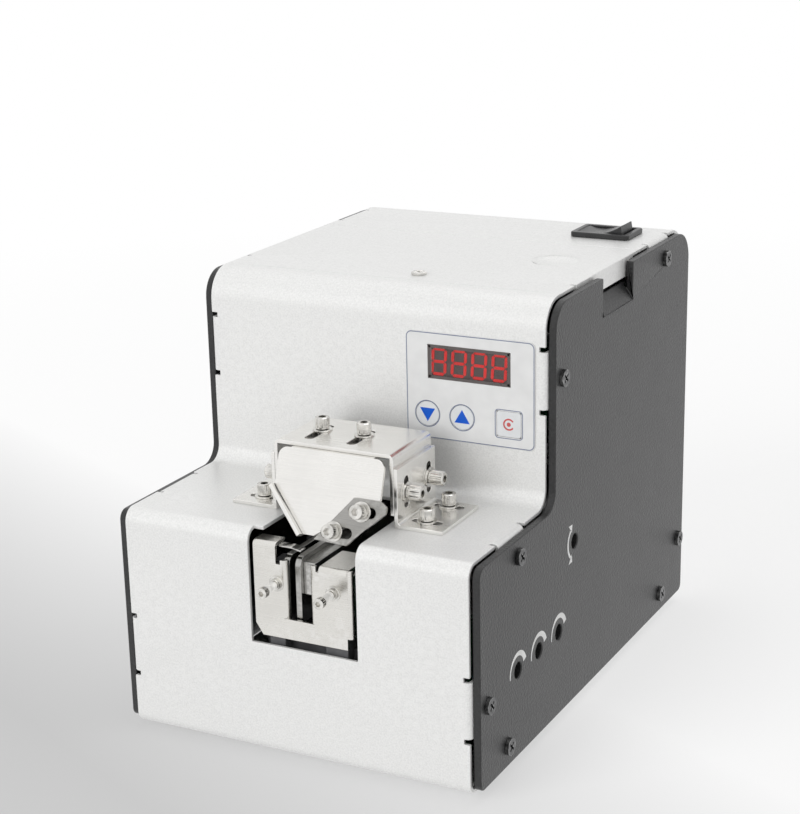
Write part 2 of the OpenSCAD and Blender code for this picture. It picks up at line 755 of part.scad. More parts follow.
// ---------------------------------------------------------------- rail unit
// the bent-back sheet at the slot: left shoulder, right shoulder, both slot edges, right side
module front_plate() {
  x1 = slot_x0 + slot_w;
  shoulder_x1 = slot_x0 - slot_strip;
  color("gainsboro") place() difference() {
    union() {
      along(0, guide_t) difference() {
        union() {
          translate([fp_x0, fp_z0]) square([shoulder_x1 - fp_x0, fp_z_left - fp_z0]);
          translate([shoulder_x1 - eps, fp_z0]) square([fp_x1 - shoulder_x1, fp_z_right - fp_z0]);
        }
        translate([slot_x0, slot_z0]) square([slot_w, fp_h]);
        // notches beside the bends
        translate([shoulder_x1 - 0.6, fp_z_right - 1.4]) square([1.5, 8]);
        translate([x1 + slot_strip - 0.9, fp_z_right - 1.8]) square([0.9, 5]);
        polygon([[fp_x0 - 1, fp_z0 - 1], [fp_x0 + 2.5, fp_z0 - 1], [fp_x0 + 2.5, fp_z0],
                 [fp_x0, fp_z0 + 3.8], [fp_x0 - 1, fp_z0 + 3.8]]);
        translate([fp_x1 - 2, fp_z0 - 1]) square([5, 4.6]);
      }
      box([fp_x0, guide_t - eps, fp_z_left - guide_t], [shoulder_x1 - 0.6, left_flange, fp_z_left]);
      box([x1 + slot_strip, guide_t - eps, fp_z_right - guide_t], [fp_x1 - 1.6, right_flange, fp_z_right]);
      box([slot_x0 - guide_t, guide_t - eps, slot_z0], [slot_x0, slot_flange, fp_z_right]);
      box([x1, guide_t - eps, slot_z0], [x1 + guide_t, slot_flange, fp_z_right - 1]);
      box([fp_x1 - guide_t, guide_t - eps, fp_z0 + 3.6], [fp_x1, side_flange, fp_z_right - 1.4]);
    }
    // rounded outer sides of the bends
    across(fp_x0 - 1, shoulder_x1) translate([0, fp_z_left]) corner_cut(fp_bend_r, 1, -1);
    across(x1 + slot_strip, fp_x1 - 1.6) translate([0, fp_z_right]) corner_cut(fp_bend_r, 1, -1);
    translate([slot_x0, 0, slot_z0]) linear_extrude(fp_h) corner_cut(fp_bend_r, -1, 1);
    translate([x1, 0, slot_z0]) linear_extrude(fp_h) corner_cut(fp_bend_r, 1, 1);
    translate([fp_x1, 0, fp_z0 + 3.6]) linear_extrude(fp_h) corner_cut(fp_bend_r, -1, 1);
    for (x = stud_xs) rod_y(-1, guide_t + 1, x, stud_z, stud_d + 0.1);
  }
}

// long cap screws with their washers
module front_plate_screws() {
  color("whitesmoke") place() for (x = stud_xs) {
    difference() {
      union() {
        rod_y(-stud_reach, 8, x, stud_z, stud_d);
        rod_y(-stud_reach, -stud_reach + stud_head_h, x, stud_z, stud_head_d);
        rod_y(-washer_t - 1.2, -washer_t, x, stud_z, stud_d + 1);
        rod_y(-washer_t, 0, x, stud_z, stud_d + 2.4);
      }
      translate([x, -stud_reach + 1.4, stud_z]) rotate([90, 0, 0]) cylinder(h = 3, d = 1.8, $fn = 6);
    }
  }
}

module rail_base() {
  foot_x1 = right_rail_x + rail_t + right_foot_w;
  color([0.45, 0.46, 0.48]) place() difference() {
    union() {
      box([fp_x0 + 1, base_y0, base_top - base_t], [fp_x1 - 1, base_y1, base_top]);
      for (x = stud_xs)
        box([x - block_w / 2, guide_t, base_top - base_t],
            [x < gap_x ? left_rail_x : x + block_w / 2, 11, fp_z_right - guide_t - 1]);
      // wall that carries the left rail
      box([left_rail_x - 1.6, 14, base_top - 1], [left_rail_x, base_y1, rail_top - 12]);
      box([right_rail_x + rail_t + 0.8, 14, base_top - 1], [foot_x1 + 0.8, base_y1, rail_top - rail_blade_h - 0.1]);
    }
    for (x = stud_xs) rod_y(0, 9, x, stud_z, stud_d + 0.1);
    for (y = [24, 52]) rod_z(base_top - 3, rail_top, right_rail_x + rail_t + right_foot_w / 2, y, cap_d + 0.1);
  }
}

module rubber_mounts() {
  color([0.1, 0.1, 0.1]) place() for (x = [fp_x0 + 5.6, fp_x1 - 5.6], y = [base_y0 + 9, base_y1 - 8])
    rod_z(sheet_t, sheet_t + mount_h, x, y, mount_d);
}

// side view of both rails: round front top corner, cut back under the rear end
module rail_side() {
  z0 = rail_top - rail_blade_h;
  difference() {
    translate([rail_y0, z0]) square([rail_y1 - rail_y0, rail_blade_h]);
    translate([rail_y0, rail_top]) corner_cut(rail_arc_r, 1, -1);
    translate([gate_y - gate_d / 2 - 1, z0 - 1]) square([rail_y1, gate_z + gate_d / 2 + 2 - z0]);
  }
}

module left_rail() { color("silver") place() across(left_rail_x, left_rail_x + rail_t) rail_side(); }

module right_rail() {
  x0 = right_rail_x + rail_t;
  z0 = rail_top - rail_blade_h;
  color("silver") place() {
    across(right_rail_x, x0) rail_side();
    difference() {
      box([x0 - eps, 16, z0], [x0 + right_foot_w, bar_y1, z0 + 1.6]);
      for (y = [24, 52]) translate([x0 + right_foot_w / 2, y, z0 - 1]) linear_extrude(5)
        slot2(5.4, slot_d);
    }
  }
}

module rail_bar() {
  x0 = right_rail_x + rail_t;
  color([0.22, 0.22, 0.23]) place()
    box([x0, rail_y0 + 1.6, rail_top - 12], [x0 + bar_w, bar_y1, rail_top - 1.6]);
}

module rail_clamp_screws() {
  z = rail_top - rail_blade_h + 1.6;
  color("whitesmoke") place() for (y = [24, 52])
    translate([right_rail_x + rail_t + right_foot_w / 2, y, z]) cap_screw(4.6, 2.2);
}

module retaining_leaf() {
  z = fp_z_left - guide_t;
  color("gainsboro") place() {
    box([slot_x0 - 8, 2, z - 0.4], [slot_x0 + 0.9, 5, z]);
    translate([slot_x0 + 0.9 - eps, 2, z - 0.4]) rotate([0, 12, 0]) cube([3.2, 3, 0.4]);
  }
}

module vibrator_motor() {
  color([0.7, 0.7, 0.72]) place() {
    rod_y(base_y1 - 30, base_y1 - 12, vibrator_x, vibrator_z, 12);
    box([vibrator_x - 6, base_y1 - 28, vibrator_z + 4], [vibrator_x + 6, base_y1 - 16, base_top - base_t]);
    rod_y(base_y1 - 12 - eps, base_y1 - 5, vibrator_x, vibrator_z, 2);
  }
}

module eccentric_weight() {
  color("goldenrod") place() difference() {
    rod_y(base_y1 - 11, base_y1 - 6, vibrator_x, vibrator_z, 10);
    rod_y(base_y1 - 12, base_y1, vibrator_x, vibrator_z, 2 + 2 * run_clear);
    box([vibrator_x - 7, base_y1 - 12, vibrator_z + 1.6], [vibrator_x + 7, base_y1, vibrator_z + 8]);
  }
}

// ---------------------------------------------------------------- controls
module overlay_outline() {
  translate([panel_x0 + panel_w / 2, panel_z0 + panel_h / 2]) difference() {
    round_rect(panel_w, panel_h, 2);
    // the lower left corner of the overlay is cut away behind the hood
    translate([-panel_w / 2 - 1, -panel_h / 2 - 1]) square([1.2, 1.2]);
  }
}

module display_overlay() {
  color("whitesmoke") place() along(face_y - panel_t, face_y) difference() {
    overlay_outline();
    translate([window_x, window_z]) square([window_w, window_h], center = true);
    for (x = [down_x, up_x]) translate([x, round_z]) circle(button_r + button_gap);
    translate([set_x, set_z]) square(set_w + 2 * button_gap, center = true);
  }
}

module display_window() {
  color([0.3, 0.3, 0.3]) place() along(face_y - panel_t, face_y)
    translate([window_x, window_z]) square([window_w - 0.02, window_h - 0.02], center = true);
}

// seven bars of one figure, w wide and h high
module figure8(w, h, t) {
  for (z = [-h / 2, 0, h / 2]) translate([-w / 2 + t, z - t / 2]) square([w - 2 * t, t]);
  for (x = [-w / 2, w / 2], z = [-h / 2, 0]) translate([x - t / 2, z + t * 0.6]) square([t, h / 2 - 1.2 * t]);
}

module display_digits() {
  color([0.8, 0.1, 0.1]) place() {
    along(step_y + 0.4, board_y)
      translate([window_x, window_z]) square([window_w - 2.6, window_h - 2], center = true);
    along(step_y + 0.2, step_y + 0.5) for (i = [-1.5:1:1.5])
      translate([window_x + i * 6, window_z]) figure8(3.4, 6.6, 0.7);
  }
}

module display_board() {
  color([0.1, 0.35, 0.2]) place() {
    box([panel_x0, board_y, panel_z0], [panel_x0 + panel_w, board_y + 1.6, panel_z0 + panel_h]);
    for (x = [down_x, up_x]) rod_y(board_y - tact_reach, board_y, x, round_z, 6);
    rod_y(board_y - tact_reach, board_y, set_x, set_z, 6);
    for (x = [panel_x0 + 3, panel_x0 + panel_w - 3], z = [panel_z0 + 3, panel_z0 + panel_h - 3])
      rod_y(step_y, board_y, x, z, 4);
  }
}

module plunger(x, z) { rod_y(face_y - eps, board_y - tact_reach - button_travel - 0.1, x, z, plunger_d); }

module down_button() {
  color("aliceblue") place() {
    rod_y(face_y - panel_t, face_y, down_x, round_z, 2 * button_r);
    plunger(down_x, round_z);
  }
}

module up_button() {
  color("aliceblue") place() {
    rod_y(face_y - panel_t, face_y, up_x, round_z, 2 * button_r);
    plunger(up_x, round_z);
  }
}

module set_button() {
  color("aliceblue") place() {
    along(face_y - panel_t, face_y) translate([set_x, set_z]) round_rect(set_w, set_w, 0.8);
    plunger(set_x, set_z);
  }
}

module switch_body() {
  top = plate_h + sheet_t;
  color([0.08, 0.08, 0.08]) place() translate([switch_x, switch_y, 0]) difference() {
    union() {
      translate([0, 0, top]) linear_extrude(switch_rim_h) round_rect(switch_l, switch_w, 1.5);
      translate([0, 0, top - 13]) linear_extrude(13 + eps) square([switch_l - 2.4, switch_w - 2.4], center = true);
    }
    translate([0, 0, top - 7]) linear_extrude(12)
      square([rocker_l + 2 * rocker_gap + 0.8, rocker_w + 2 * rocker_gap], center = true);
  }
}

// the rocker turns about an axis along Y; its top is one shallow hollow
module switch_rocker() {
  top = plate_h + sheet_t;
  color([0.12, 0.12, 0.12]) place() translate([switch_x, switch_y, top - rocker_sink])
    rotate([0, -rocker_tilt, 0]) along(-rocker_w / 2, rocker_w / 2) difference() {
      union() {
        translate([-rocker_l / 2, -1]) square([rocker_l, rocker_rise + 1]);
        circle(4);
      }
      translate([0, rocker_rise - rocker_dip + rocker_dish_r]) circle(rocker_dish_r, $fn = 96);
    }
}

module dc_inlet() {
  y0 = plate_depth + sheet_t;
  color([0.1, 0.1, 0.1]) place() {
    difference() {
      union() {
        rod_y(y0 - 13, y0 + inlet_nut_h, inlet_x, inlet_z, inlet_d);
        translate([inlet_x, y0 + inlet_nut_h - 0.2, inlet_z]) rotate([90, 0, 0])
          cylinder(h = inlet_nut_h - 0.2, d = 12, $fn = 6);
        rod_y(y0 - sheet_t - 2, y0 - sheet_t, inlet_x, inlet_z, 11);
      }
      rod_y(y0 - 9, y0 + 9, inlet_x, inlet_z, 5.6);
    }
    rod_y(y0 - 9.1, y0 - 0.5, inlet_x, inlet_z, 2);
  }
}

module main_board() {
  color([0.1, 0.35, 0.2]) place() {
    box([board_x - 1.6, trim_y - 24, 8], [board_x, trim_y + 24, 46]);
    for (y = [trim_y - 20, trim_y + 20]) {
      box([board_x - 9, y - 4, sheet_t], [board_x - 1.6, y + 4, sheet_t + 1.2]);
      box([board_x - 2.8, y - 4, sheet_t], [board_x - 1.6, y + 4, 14]);
    }
    for (i = [0:2]) box([board_x - 8, trim_y - 18 + i * 13, 26], [board_x - 1.6, trim_y - 9 + i * 13, 40]);
  }
}

module trimmer_bodies() {
  color([0.15, 0.3, 0.6]) place() for (i = [-1, 0, 1]) difference() {
    box([board_x, trim_y + i * trim_pitch - 4.8, trim_z - 4.8], [board_x + 5, trim_y + i * trim_pitch + 4.8, trim_z + 4.8]);
    rod_x(board_x + 2, board_x + 6, trim_y + i * trim_pitch, trim_z, 3 + 2 * run_clear);
  }
}

module trimmer(i) {
  x0 = board_x + 5.2;
  color("white") place() difference() {
    union() {
      rod_x(x0, plate_x - 0.4, trim_y + i * trim_pitch, trim_z, trim_rotor_d);
      rod_x(board_x + 2.2, x0 + 1, trim_y + i * trim_pitch, trim_z, 3);
    }
    translate([plate_x - 0.4, trim_y + i * trim_pitch, trim_z]) rotate([45, 0, 0])
      for (a = [0, 90]) rotate([a, 0, 0]) cube([2, 3.4, 0.7], center = true);
  }
}

module trimmer_1() { trimmer(-1); }
module trimmer_2() { trimmer(0); }
module trimmer_3() { trimmer(1); }

module lock_gate_shaft() {
  x0 = gap_x - rail_gap / 2 + 0.1;
  color("gainsboro") place() difference() {
    union() {
      rod_x(x0, plate_x - 0.6, gate_y, gate_z, gate_d);
      // blade that swings up between the rails
      box([x0, gate_y - gate_arm, gate_z - gate_d / 2], [x0 + gate_blade_t, gate_y, gate_z]);
    }
    translate([plate_x - 0.6, gate_y, gate_z]) cube([2.4, gate_d + 1, 0.9], center = true);
  }
}

module lock_gate_block() {
  color([0.45, 0.46, 0.48]) place() difference() {
    union() {
      box([plate_x - 10, gate_y - 5, gate_z - 5], [plate_x, gate_y + 5, gate_z + 5]);
      box([chamber_x1 - 8, gate_y - 4, gate_z - 5], [chamber_x1, chamber_y0, gate_z + 5]);
    }
    rod_x(0, plate_x + 1, gate_y, gate_z, gate_d + 2 * run_clear);
  }
}

// ---------------------------------------------------------------- feeding mechanism
// chamber seen from the side: a round-bottomed trough, grown by g
module trough(g, top) {
  translate([drum_y, drum_z]) circle(chamber_r + g, $fn = 96);
  translate([drum_y - chamber_r - g, drum_z]) square([2 * (chamber_r + g), top - drum_z]);
}

// chamber seen from the front: narrow below, flared to the lid above, shrunk by g
module flare(g) {
  z0 = drum_z - chamber_r - wall_t + g;
  polygon([[chamber_x0 + g, z0], [chamber_x1 - g, z0], [chamber_x1 - g, chamber_flare_z + g / 2],
           [sheet_x - 6 - g, chamber_top - 8], [sheet_x - 6 - g, chamber_top + (g > 0 ? 1 : 0)],
           [-sheet_x + 6 + g, chamber_top + (g > 0 ? 1 : 0)], [-sheet_x + 6 + g, chamber_top - 8],
           [chamber_x0 + g, chamber_flare_z + g / 2]]);
}

module screw_chamber() {
  color([0.55, 0.56, 0.58]) place() difference() {
    union() {
      intersection() {
        across(-body_w, body_w) trough(wall_t, chamber_top);
        along(0, plate_depth) flare(0);
      }
      // feet down to the base plate
      for (x = [chamber_x0 + 4, chamber_x1 - 12], y = [drum_y - 14, drum_y + 8])
        box([x, y, sheet_t], [x + 8, y + 6, drum_z - chamber_r + 3]);
      // flange that carries the lid's magnet
      box([lid_screw_x - 9, chamber_y0, chamber_top - 2], [lid_screw_x + 9, chamber_y0 + wall_t, plate_h - magnet[2] - 0.3]);
      box([lid_screw_x - 9, chamber_y0 - 4, plate_h - magnet[2] - 1.8], [lid_screw_x + 9, chamber_y0 + wall_t, plate_h - magnet[2] - 0.3]);
    }
    intersection() {
      across(-body_w, body_w) trough(0, chamber_top + 1);
      along(0, plate_depth) flare(wall_t);
    }
    // rails and brush pass through the front wall
    box([left_rail_x - 1, 0, rail_top - 10], [right_rail_x + rail_t + 1.6, drum_y, rail_top + 3]);
    box([brush_x0 - 1, 0, rail_top], [brush_x0 + brush_len + 1, drum_y - 5, brush_z + brush_r + 1]);
    rod_x(chamber_x1 - 5, chamber_x1 + 5, drum_y, drum_z, shaft_d + 2 * run_clear);
    rod_x(chamber_x0 - 5, chamber_x1 + 5, brush_y, brush_z, shaft_d + 2 * run_clear);
  }
}

module drop_chute() {
  x0 = right_rail_x + rail_t + 3;
  color([0.7, 0.7, 0.72]) place() {
    // sloping tray inside the drum, tipping screws onto the rails
    along(drum_y - 7, drum_y + 7) polygon([[x0, rail_top + 1.2], [drum_x1 - 4, rail_top + 5],
      [drum_x1 - 4, rail_top + 6], [x0, rail_top + 2.2]]);
    box([x0, drum_y + 7 - eps, rail_top - 4], [x0 + 1, drum_y + chamber_r, rail_top + 2.2]);
  }
}

module lifting_drum() {
  color([0.8, 0.8, 0.82]) place() {
    difference() {
      rod_x(drum_x0, drum_x1, drum_y, drum_z, 2 * drum_r, $fn = 96);
      rod_x(drum_x0 - 1, drum_x1 - drum_wall, drum_y, drum_z, 2 * (drum_r - drum_wall), $fn = 96);
    }
    for (i = [0:paddles - 1]) translate([drum_x0 + 2, drum_y, drum_z]) rotate([i * 360 / paddles + 15, 0, 0])
      translate([0, drum_r - drum_wall - 4.5, -0.6]) cube([drum_len - 3, 5, 1.2]);
    rod_x(drum_x1 - eps, motor_x0 + 1.5, drum_y, drum_z, shaft_d);
    rod_x(drum_x1 - eps, chamber_x1 - wall_t - 0.4, drum_y, drum_z, 8);
  }
}

// a grooved belt pulley
module pulley(y, z) {
  difference() {
    rod_x(pulley_x0, pulley_x0 + pulley_w, y, z, 2 * pulley_r);
    translate([pulley_x0 + pulley_w / 2, y, z]) rotate([0, 90, 0]) rotate_extrude()
      translate([pulley_r, 0]) circle(0.9);
    rod_x(pulley_x0 - 1, pulley_x0 + pulley_w + 1, y, z, shaft_d);
  }
}

module drum_pulley() { color([0.2, 0.2, 0.2]) place() pulley(drum_y, drum_z); }

module brush_shaft() {
  color("gray") place() {
    rod_x(chamber_x0 - 3, pulley_x0 + pulley_w, brush_y, brush_z, shaft_d);
    pulley(brush_y, brush_z);
  }
}

module roller_brush() {
  tufts = 12;
  color([0.15, 0.15, 0.16]) place() difference() {
    union() {
      rod_x(brush_x0, brush_x0 + brush_len, brush_y, brush_z, brush_r);
      for (i = [0:tufts - 1]) translate([brush_x0, brush_y, brush_z]) rotate([i * 360 / tufts, 0, 0])
        translate([0, 0, -0.7]) cube([brush_len, brush_r, 1.4]);
    }
    rod_x(brush_x0 - 1, brush_x0 + brush_len + 1, brush_y, brush_z, shaft_d);
  }
}

module drive_belt() {
  x = pulley_x0 + pulley_w / 2;
  a = atan2(brush_z - drum_z, brush_y - drum_y);
  l = norm([brush_z - drum_z, brush_y - drum_y]);
  color([0.05, 0.05, 0.05]) place() translate([x - belt_t / 2, drum_y, drum_z]) rotate([a, 0, 0])
    rotate([90, 0, 90]) linear_extrude(belt_t) difference() {
      translate([l / 2, 0]) slot2(l + 2 * (pulley_r + 1.5), 2 * (pulley_r + 1.5));
      translate([l / 2, 0]) slot2(l + 2 * (pulley_r + 0.3), 2 * (pulley_r + 0.3));
    }
}

module gear_motor() {
  color([0.75, 0.75, 0.77]) place() difference() {
    union() {
      rod_x(motor_x0, motor_x0 + motor_len, drum_y, drum_z, 2 * motor_r);
      rod_x(motor_x0 + motor_len - eps, motor_x0 + motor_len + 1.4, drum_y, drum_z, 8);
    }
    rod_x(motor_x0 - 1, motor_x0 + 3, drum_y, drum_z, shaft_d + 2 * run_clear);
  }
}

module motor_bracket() {
  color("lightgray") place() difference() {
    union() {
      box([motor_x0 - 1.5, drum_y - 15, sheet_t], [motor_x0, drum_y + 15, drum_z + 14]);
      box([motor_x0 - 1.5, drum_y - 15, sheet_t], [motor_x0 + 9, drum_y + 15, sheet_t + 1.5]);
    }
    rod_x(motor_x0 - 3, motor_x0 + 1, drum_y, drum_z, shaft_d + 3);
  }
}

module screw_sensors() {
  color([0.12, 0.12, 0.13]) place() for (s = [left_rail_x - 6, right_rail_x + rail_t + right_foot_w + 2])
    box([s, 26, base_top], [s + 4, 32, rail_top - 3]);
}

// ---------------------------------------------------------------- node switches
front_shell();
rear_shell();
base_plate();
left_side_plate();
right_side_plate();
side_plate_screws();
rubber_feet();
lid();
lid_screw();
lid_magnet();
lid_pivot_pins();
left_bracket();
right_bracket();
bracket_foot_screws();
hood();
hood_side_screws();
shield_plate();
shield_top_screws();
guide_screws();
guide_plate();
front_plate();
front_plate_screws();
rail_base();
rubber_mounts();
left_rail();
right_rail();
rail_bar();
rail_clamp_screws();
retaining_leaf();
vibrator_motor();
eccentric_weight();
display_overlay();
display_window();
display_digits();
display_board();
down_button();
up_button();
set_button();
switch_body();
switch_rocker();
dc_inlet();
main_board();
trimmer_bodies();
trimmer_1();
trimmer_2();
trimmer_3();
lock_gate_block();
lock_gate_shaft();
screw_chamber();
drop_chute();
lifting_drum();
drum_pulley();
gear_motor();
motor_bracket();
brush_shaft();
roller_brush();
drive_belt();
screw_sensors();
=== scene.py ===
"""Automatic screw feeder: the finished look of the stepped cabinet, its panel and its mechanism.

Lengths below are millimetres in the side plates' own frame: X to the right, Y back from the plates' front
edge and Z up from their bottom edge. The shop turns them into metres in the shared frame.
"""
import json
import logging
import math
from dataclasses import dataclass
from enum import Enum

import bmesh
import bpy
from mathutils import Matrix, Vector

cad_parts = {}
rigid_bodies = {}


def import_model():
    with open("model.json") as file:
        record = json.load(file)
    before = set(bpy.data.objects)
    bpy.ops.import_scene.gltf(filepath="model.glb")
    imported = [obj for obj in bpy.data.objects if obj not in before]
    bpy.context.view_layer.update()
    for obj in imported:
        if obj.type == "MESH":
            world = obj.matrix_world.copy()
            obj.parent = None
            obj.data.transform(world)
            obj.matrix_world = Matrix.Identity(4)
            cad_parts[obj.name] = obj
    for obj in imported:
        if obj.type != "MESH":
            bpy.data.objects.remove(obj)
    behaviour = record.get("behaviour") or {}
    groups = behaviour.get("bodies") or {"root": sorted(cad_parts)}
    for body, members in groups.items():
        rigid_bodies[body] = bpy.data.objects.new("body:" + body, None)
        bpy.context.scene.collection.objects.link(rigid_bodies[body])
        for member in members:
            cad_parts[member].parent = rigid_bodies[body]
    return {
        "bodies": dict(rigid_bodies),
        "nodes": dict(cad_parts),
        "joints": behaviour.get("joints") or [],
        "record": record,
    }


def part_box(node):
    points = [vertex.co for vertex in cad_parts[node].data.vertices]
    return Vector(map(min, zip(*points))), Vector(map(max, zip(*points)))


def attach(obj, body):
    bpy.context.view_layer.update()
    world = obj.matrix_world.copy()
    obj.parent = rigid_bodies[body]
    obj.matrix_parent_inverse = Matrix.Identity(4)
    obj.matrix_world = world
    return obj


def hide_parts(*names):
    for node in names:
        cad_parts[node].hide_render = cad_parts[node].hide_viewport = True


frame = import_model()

log = logging.getLogger("screw_feeder")
MM = 0.001


# ---------------------------------------------------------------- shader expressions

class Signal:
    """A shader socket that takes part in Python expressions."""

    def __init__(self, tree: bpy.types.NodeTree, socket: bpy.types.NodeSocket) -> None:
        """Wraps a socket.

        Args:
            tree: the node tree that the socket belongs to.
            socket: an output socket.
        """
        self.tree = tree
        self.socket = socket

    def math(self, operation: str, first: object, second: object = 0.0, clamp: bool = False) -> "Signal":
        """Adds a Math node.

        Args:
            operation: the node's operation.
            first: a number or a signal.
            second: a number or a signal.
            clamp: whether the result is kept between 0 and 1.

        Returns:
            The node's result.
        """
        node = self.tree.nodes.new("ShaderNodeMath")
        node.operation = operation
        node.use_clamp = clamp
        for socket, value in zip(node.inputs, (first, second)):
            if isinstance(value, Signal):
                self.tree.links.new(value.socket, socket)
            else:
                socket.default_value = value
        return Signal(self.tree, node.outputs[0])

    def __add__(self, other: object) -> "Signal":
        return self.math("ADD", self, other)

    def __radd__(self, other: object) -> "Signal":
        return self.math("ADD", other, self)

    def __sub__(self, other: object) -> "Signal":
        return self.math("SUBTRACT", self, other)

    def __mul__(self, other: object) -> "Signal":
        return self.math("MULTIPLY", self, other)

    def __truediv__(self, other: object) -> "Signal":
        return self.math("DIVIDE", self, other)

    def __pow__(self, other: object) -> "Signal":
        return self.math("POWER", self, other)

    def between(self, low: float, high: float) -> "Signal":
        """Clips the signal.

        Args:
            low: the least value.
            high: the greatest value.

        Returns:
            The clipped signal.
        """
        return self.math("MINIMUM", self.math("MAXIMUM", self, low), high)

    def step(self, start: float, end: float) -> "Signal":
        """Runs from 0 at start to 1 at end, clipped outside.

        Args:
            start: the signal's value that gives 0.
            end: the signal's value that gives 1.

        Returns:
            A mask.
        """
        return self.math("MULTIPLY", self - start, 1.0 / (end - start), clamp=True)


class Graph:
    """A node tree with one method that adds any node."""

    def __init__(self, tree: bpy.types.NodeTree) -> None:
        """Clears the tree.

        Args:
            tree: a material's or the world's tree.
        """
        self.tree = tree
        tree.nodes.clear()

    def add(self, kind: str, settings: dict | None = None, inputs: dict | None = None) -> bpy.types.Node:
        """Adds a node.

        Args:
            kind: the node's type without its ShaderNode prefix.
            settings: properties that are set first.
            inputs: values or signals by socket name or number.

        Returns:
            The node.
        """
        node = self.tree.nodes.new("ShaderNode" + kind)
        for key, value in (settings or {}).items():
            setattr(node, key, value)
        for key, value in (inputs or {}).items():
            if isinstance(value, Signal):
                self.tree.links.new(value.socket, node.inputs[key])
            else:
                node.inputs[key].default_value = value
        return node

    def out(self, node: bpy.types.Node, name: str | int = 0) -> Signal:
        """Takes a node's output.

        Args:
            node: the node.
            name: the output's name or number.

        Returns:
            The output as a signal.
        """
        return Signal(self.tree, node.outputs[name])

    def mix(self, mask: object, first: object, second: object) -> Signal:
        """Blends two colours.

        Args:
            mask: a number or a signal, 0 for the first colour and 1 for the second.
            first: a colour.
            second: a colour.

        Returns:
            The blended colour.
        """
        node = self.add("Mix", {"data_type": "RGBA"}, {0: mask, 6: first, 7: second})
        return self.out(node, 2)

    def noise(self, size: float, detail: float = 2.0, stretch: tuple = (1.0, 1.0, 1.0)) -> Signal:
        """Adds noise on the piece's own coordinates.

        Args:
            size: the width of a grain in millimetres.
            detail: the number of octaves.
            stretch: how much longer a grain is along each axis.

        Returns:
            The noise, about 0.5 on average.
        """
        place = self.out(self.add("TexCoord"), "Object")
        scale = tuple(1.0 / side for side in stretch)
        turned = self.out(self.add("Mapping", None, {"Vector": place, "Scale": scale}))
        cell = self.add("TexNoise", None, {"Vector": turned, "Scale": 1.0 / (size * MM), "Detail": detail})
        return self.out(cell, 0)


class Grain(Enum):
    """The kinds of fine surface."""

    SPECKLED = "sprayed paint with fine metal flakes"
    ROUGHCAST = "textured powder coat"
    BRUSHED = "rolled or brushed sheet"
    TURNED = "machined or plated metal"
    MOULDED = "moulded plastic or rubber"
    PRINTED = "film or print"


@dataclass(frozen=True)
class Finish:
    """One finish: its slot in the record, its colour and what its surface does at small scale."""

    slot: str
    colour: tuple
    rough: float
    metal: float = 0.0
    grain: Grain = Grain.MOULDED
    depth: float = 0.1
    spread: float = 0.06
    wear_and_glint: float = 0.0
    worn_and_glint_colour: tuple = (0.5, 0.5, 0.5)
    coat: float = 0.0
    glow: float = 0.0
    relief: float = 0.05
    cover: float = 1.0
    tag: str = ""

    BLOTCHES = (0.3, 0.7)
    EDGES = (0.53, 0.62)
    PATCHES = (0.42, 0.62)
    ROUGH_SPREAD = 0.22
    WORN_ROUGH = 0.1
    LEAST_ROUGH = 0.04
    COAT_ROUGH = 0.12

    def patterns(self, graph: Graph) -> tuple:
        """Lays out the surface's height, its blotches and its streaks.

        Args:
            graph: the material's graph.

        Returns:
            The height and the colour pattern, each a signal about 0.5 on average.
        """
        if self.grain is Grain.SPECKLED:
            fine = graph.noise(0.55, 3.0)
            return fine * 0.7 + graph.noise(1.5, 2.0) * 0.3, fine * 0.9 + graph.noise(60.0, 1.0) * 0.1
        if self.grain is Grain.ROUGHCAST:
            pebbles = graph.noise(0.8, 2.0)
            return pebbles, pebbles * 0.6 + graph.noise(14.0, 3.0) * 0.4
        if self.grain is Grain.BRUSHED:
            lines = graph.noise(0.16, 2.0, (90.0, 1.0, 1.0))
            return lines, lines * 0.55 + graph.noise(9.0, 3.0) * 0.45
        if self.grain is Grain.TURNED:
            return graph.noise(0.3, 3.0), graph.noise(2.2, 3.0)
        if self.grain is Grain.PRINTED:
            return graph.noise(0.7, 1.0), graph.noise(6.0, 2.0)
        return graph.noise(0.45, 3.0), graph.noise(5.0, 3.0)

    def build(self) -> bpy.types.Material:
        """Makes the material.

        Returns:
            The material.
        """
        material = bpy.data.materials.new(self.slot + self.tag)
        material.use_nodes = True
        graph = Graph(material.node_tree)
        height, blotch = self.patterns(graph)
        dark = tuple(c * (1.0 - 2.0 * self.spread) for c in self.colour) + (1.0,)
        pale = tuple(c * (1.0 + 2.0 * self.spread) for c in self.colour) + (1.0,)
        colour = graph.mix(blotch.step(*self.BLOTCHES), dark, pale)
        rough = (self.rough + (blotch - 0.5) * self.ROUGH_SPREAD).between(self.LEAST_ROUGH, 1.0)
        # Paler colour on pointy edges: real wear on most finishes; on the black screws it is partly a painted
        # highlight standing in for glints.
        if self.wear_and_glint:
            edge = graph.out(graph.add("NewGeometry"), "Pointiness").step(*self.EDGES)
            patches = graph.noise(1.7, 4.0).step(*self.PATCHES)
            mask = (edge * patches * self.wear_and_glint).between(0.0, 1.0)
            colour = graph.mix(mask, colour, self.worn_and_glint_colour + (1.0,))
            rough = (rough - mask * self.WORN_ROUGH).between(self.LEAST_ROUGH, 1.0)
        bump = graph.add("Bump", None, {"Height": height, "Strength": self.depth,
                                        "Distance": self.relief * MM})
        values = {"Base Color": colour, "Roughness": rough, "Metallic": self.metal,
                  "Normal": graph.out(bump), "Coat Weight": self.coat, "Coat Roughness": self.COAT_ROUGH,
                  "Alpha": self.cover}
        if self.glow:
            values["Emission Color"] = colour
            values["Emission Strength"] = self.glow
        skin = graph.add("BsdfPrincipled", None, values)
        graph.add("OutputMaterial", None, {"Surface": graph.out(skin)})
        return material


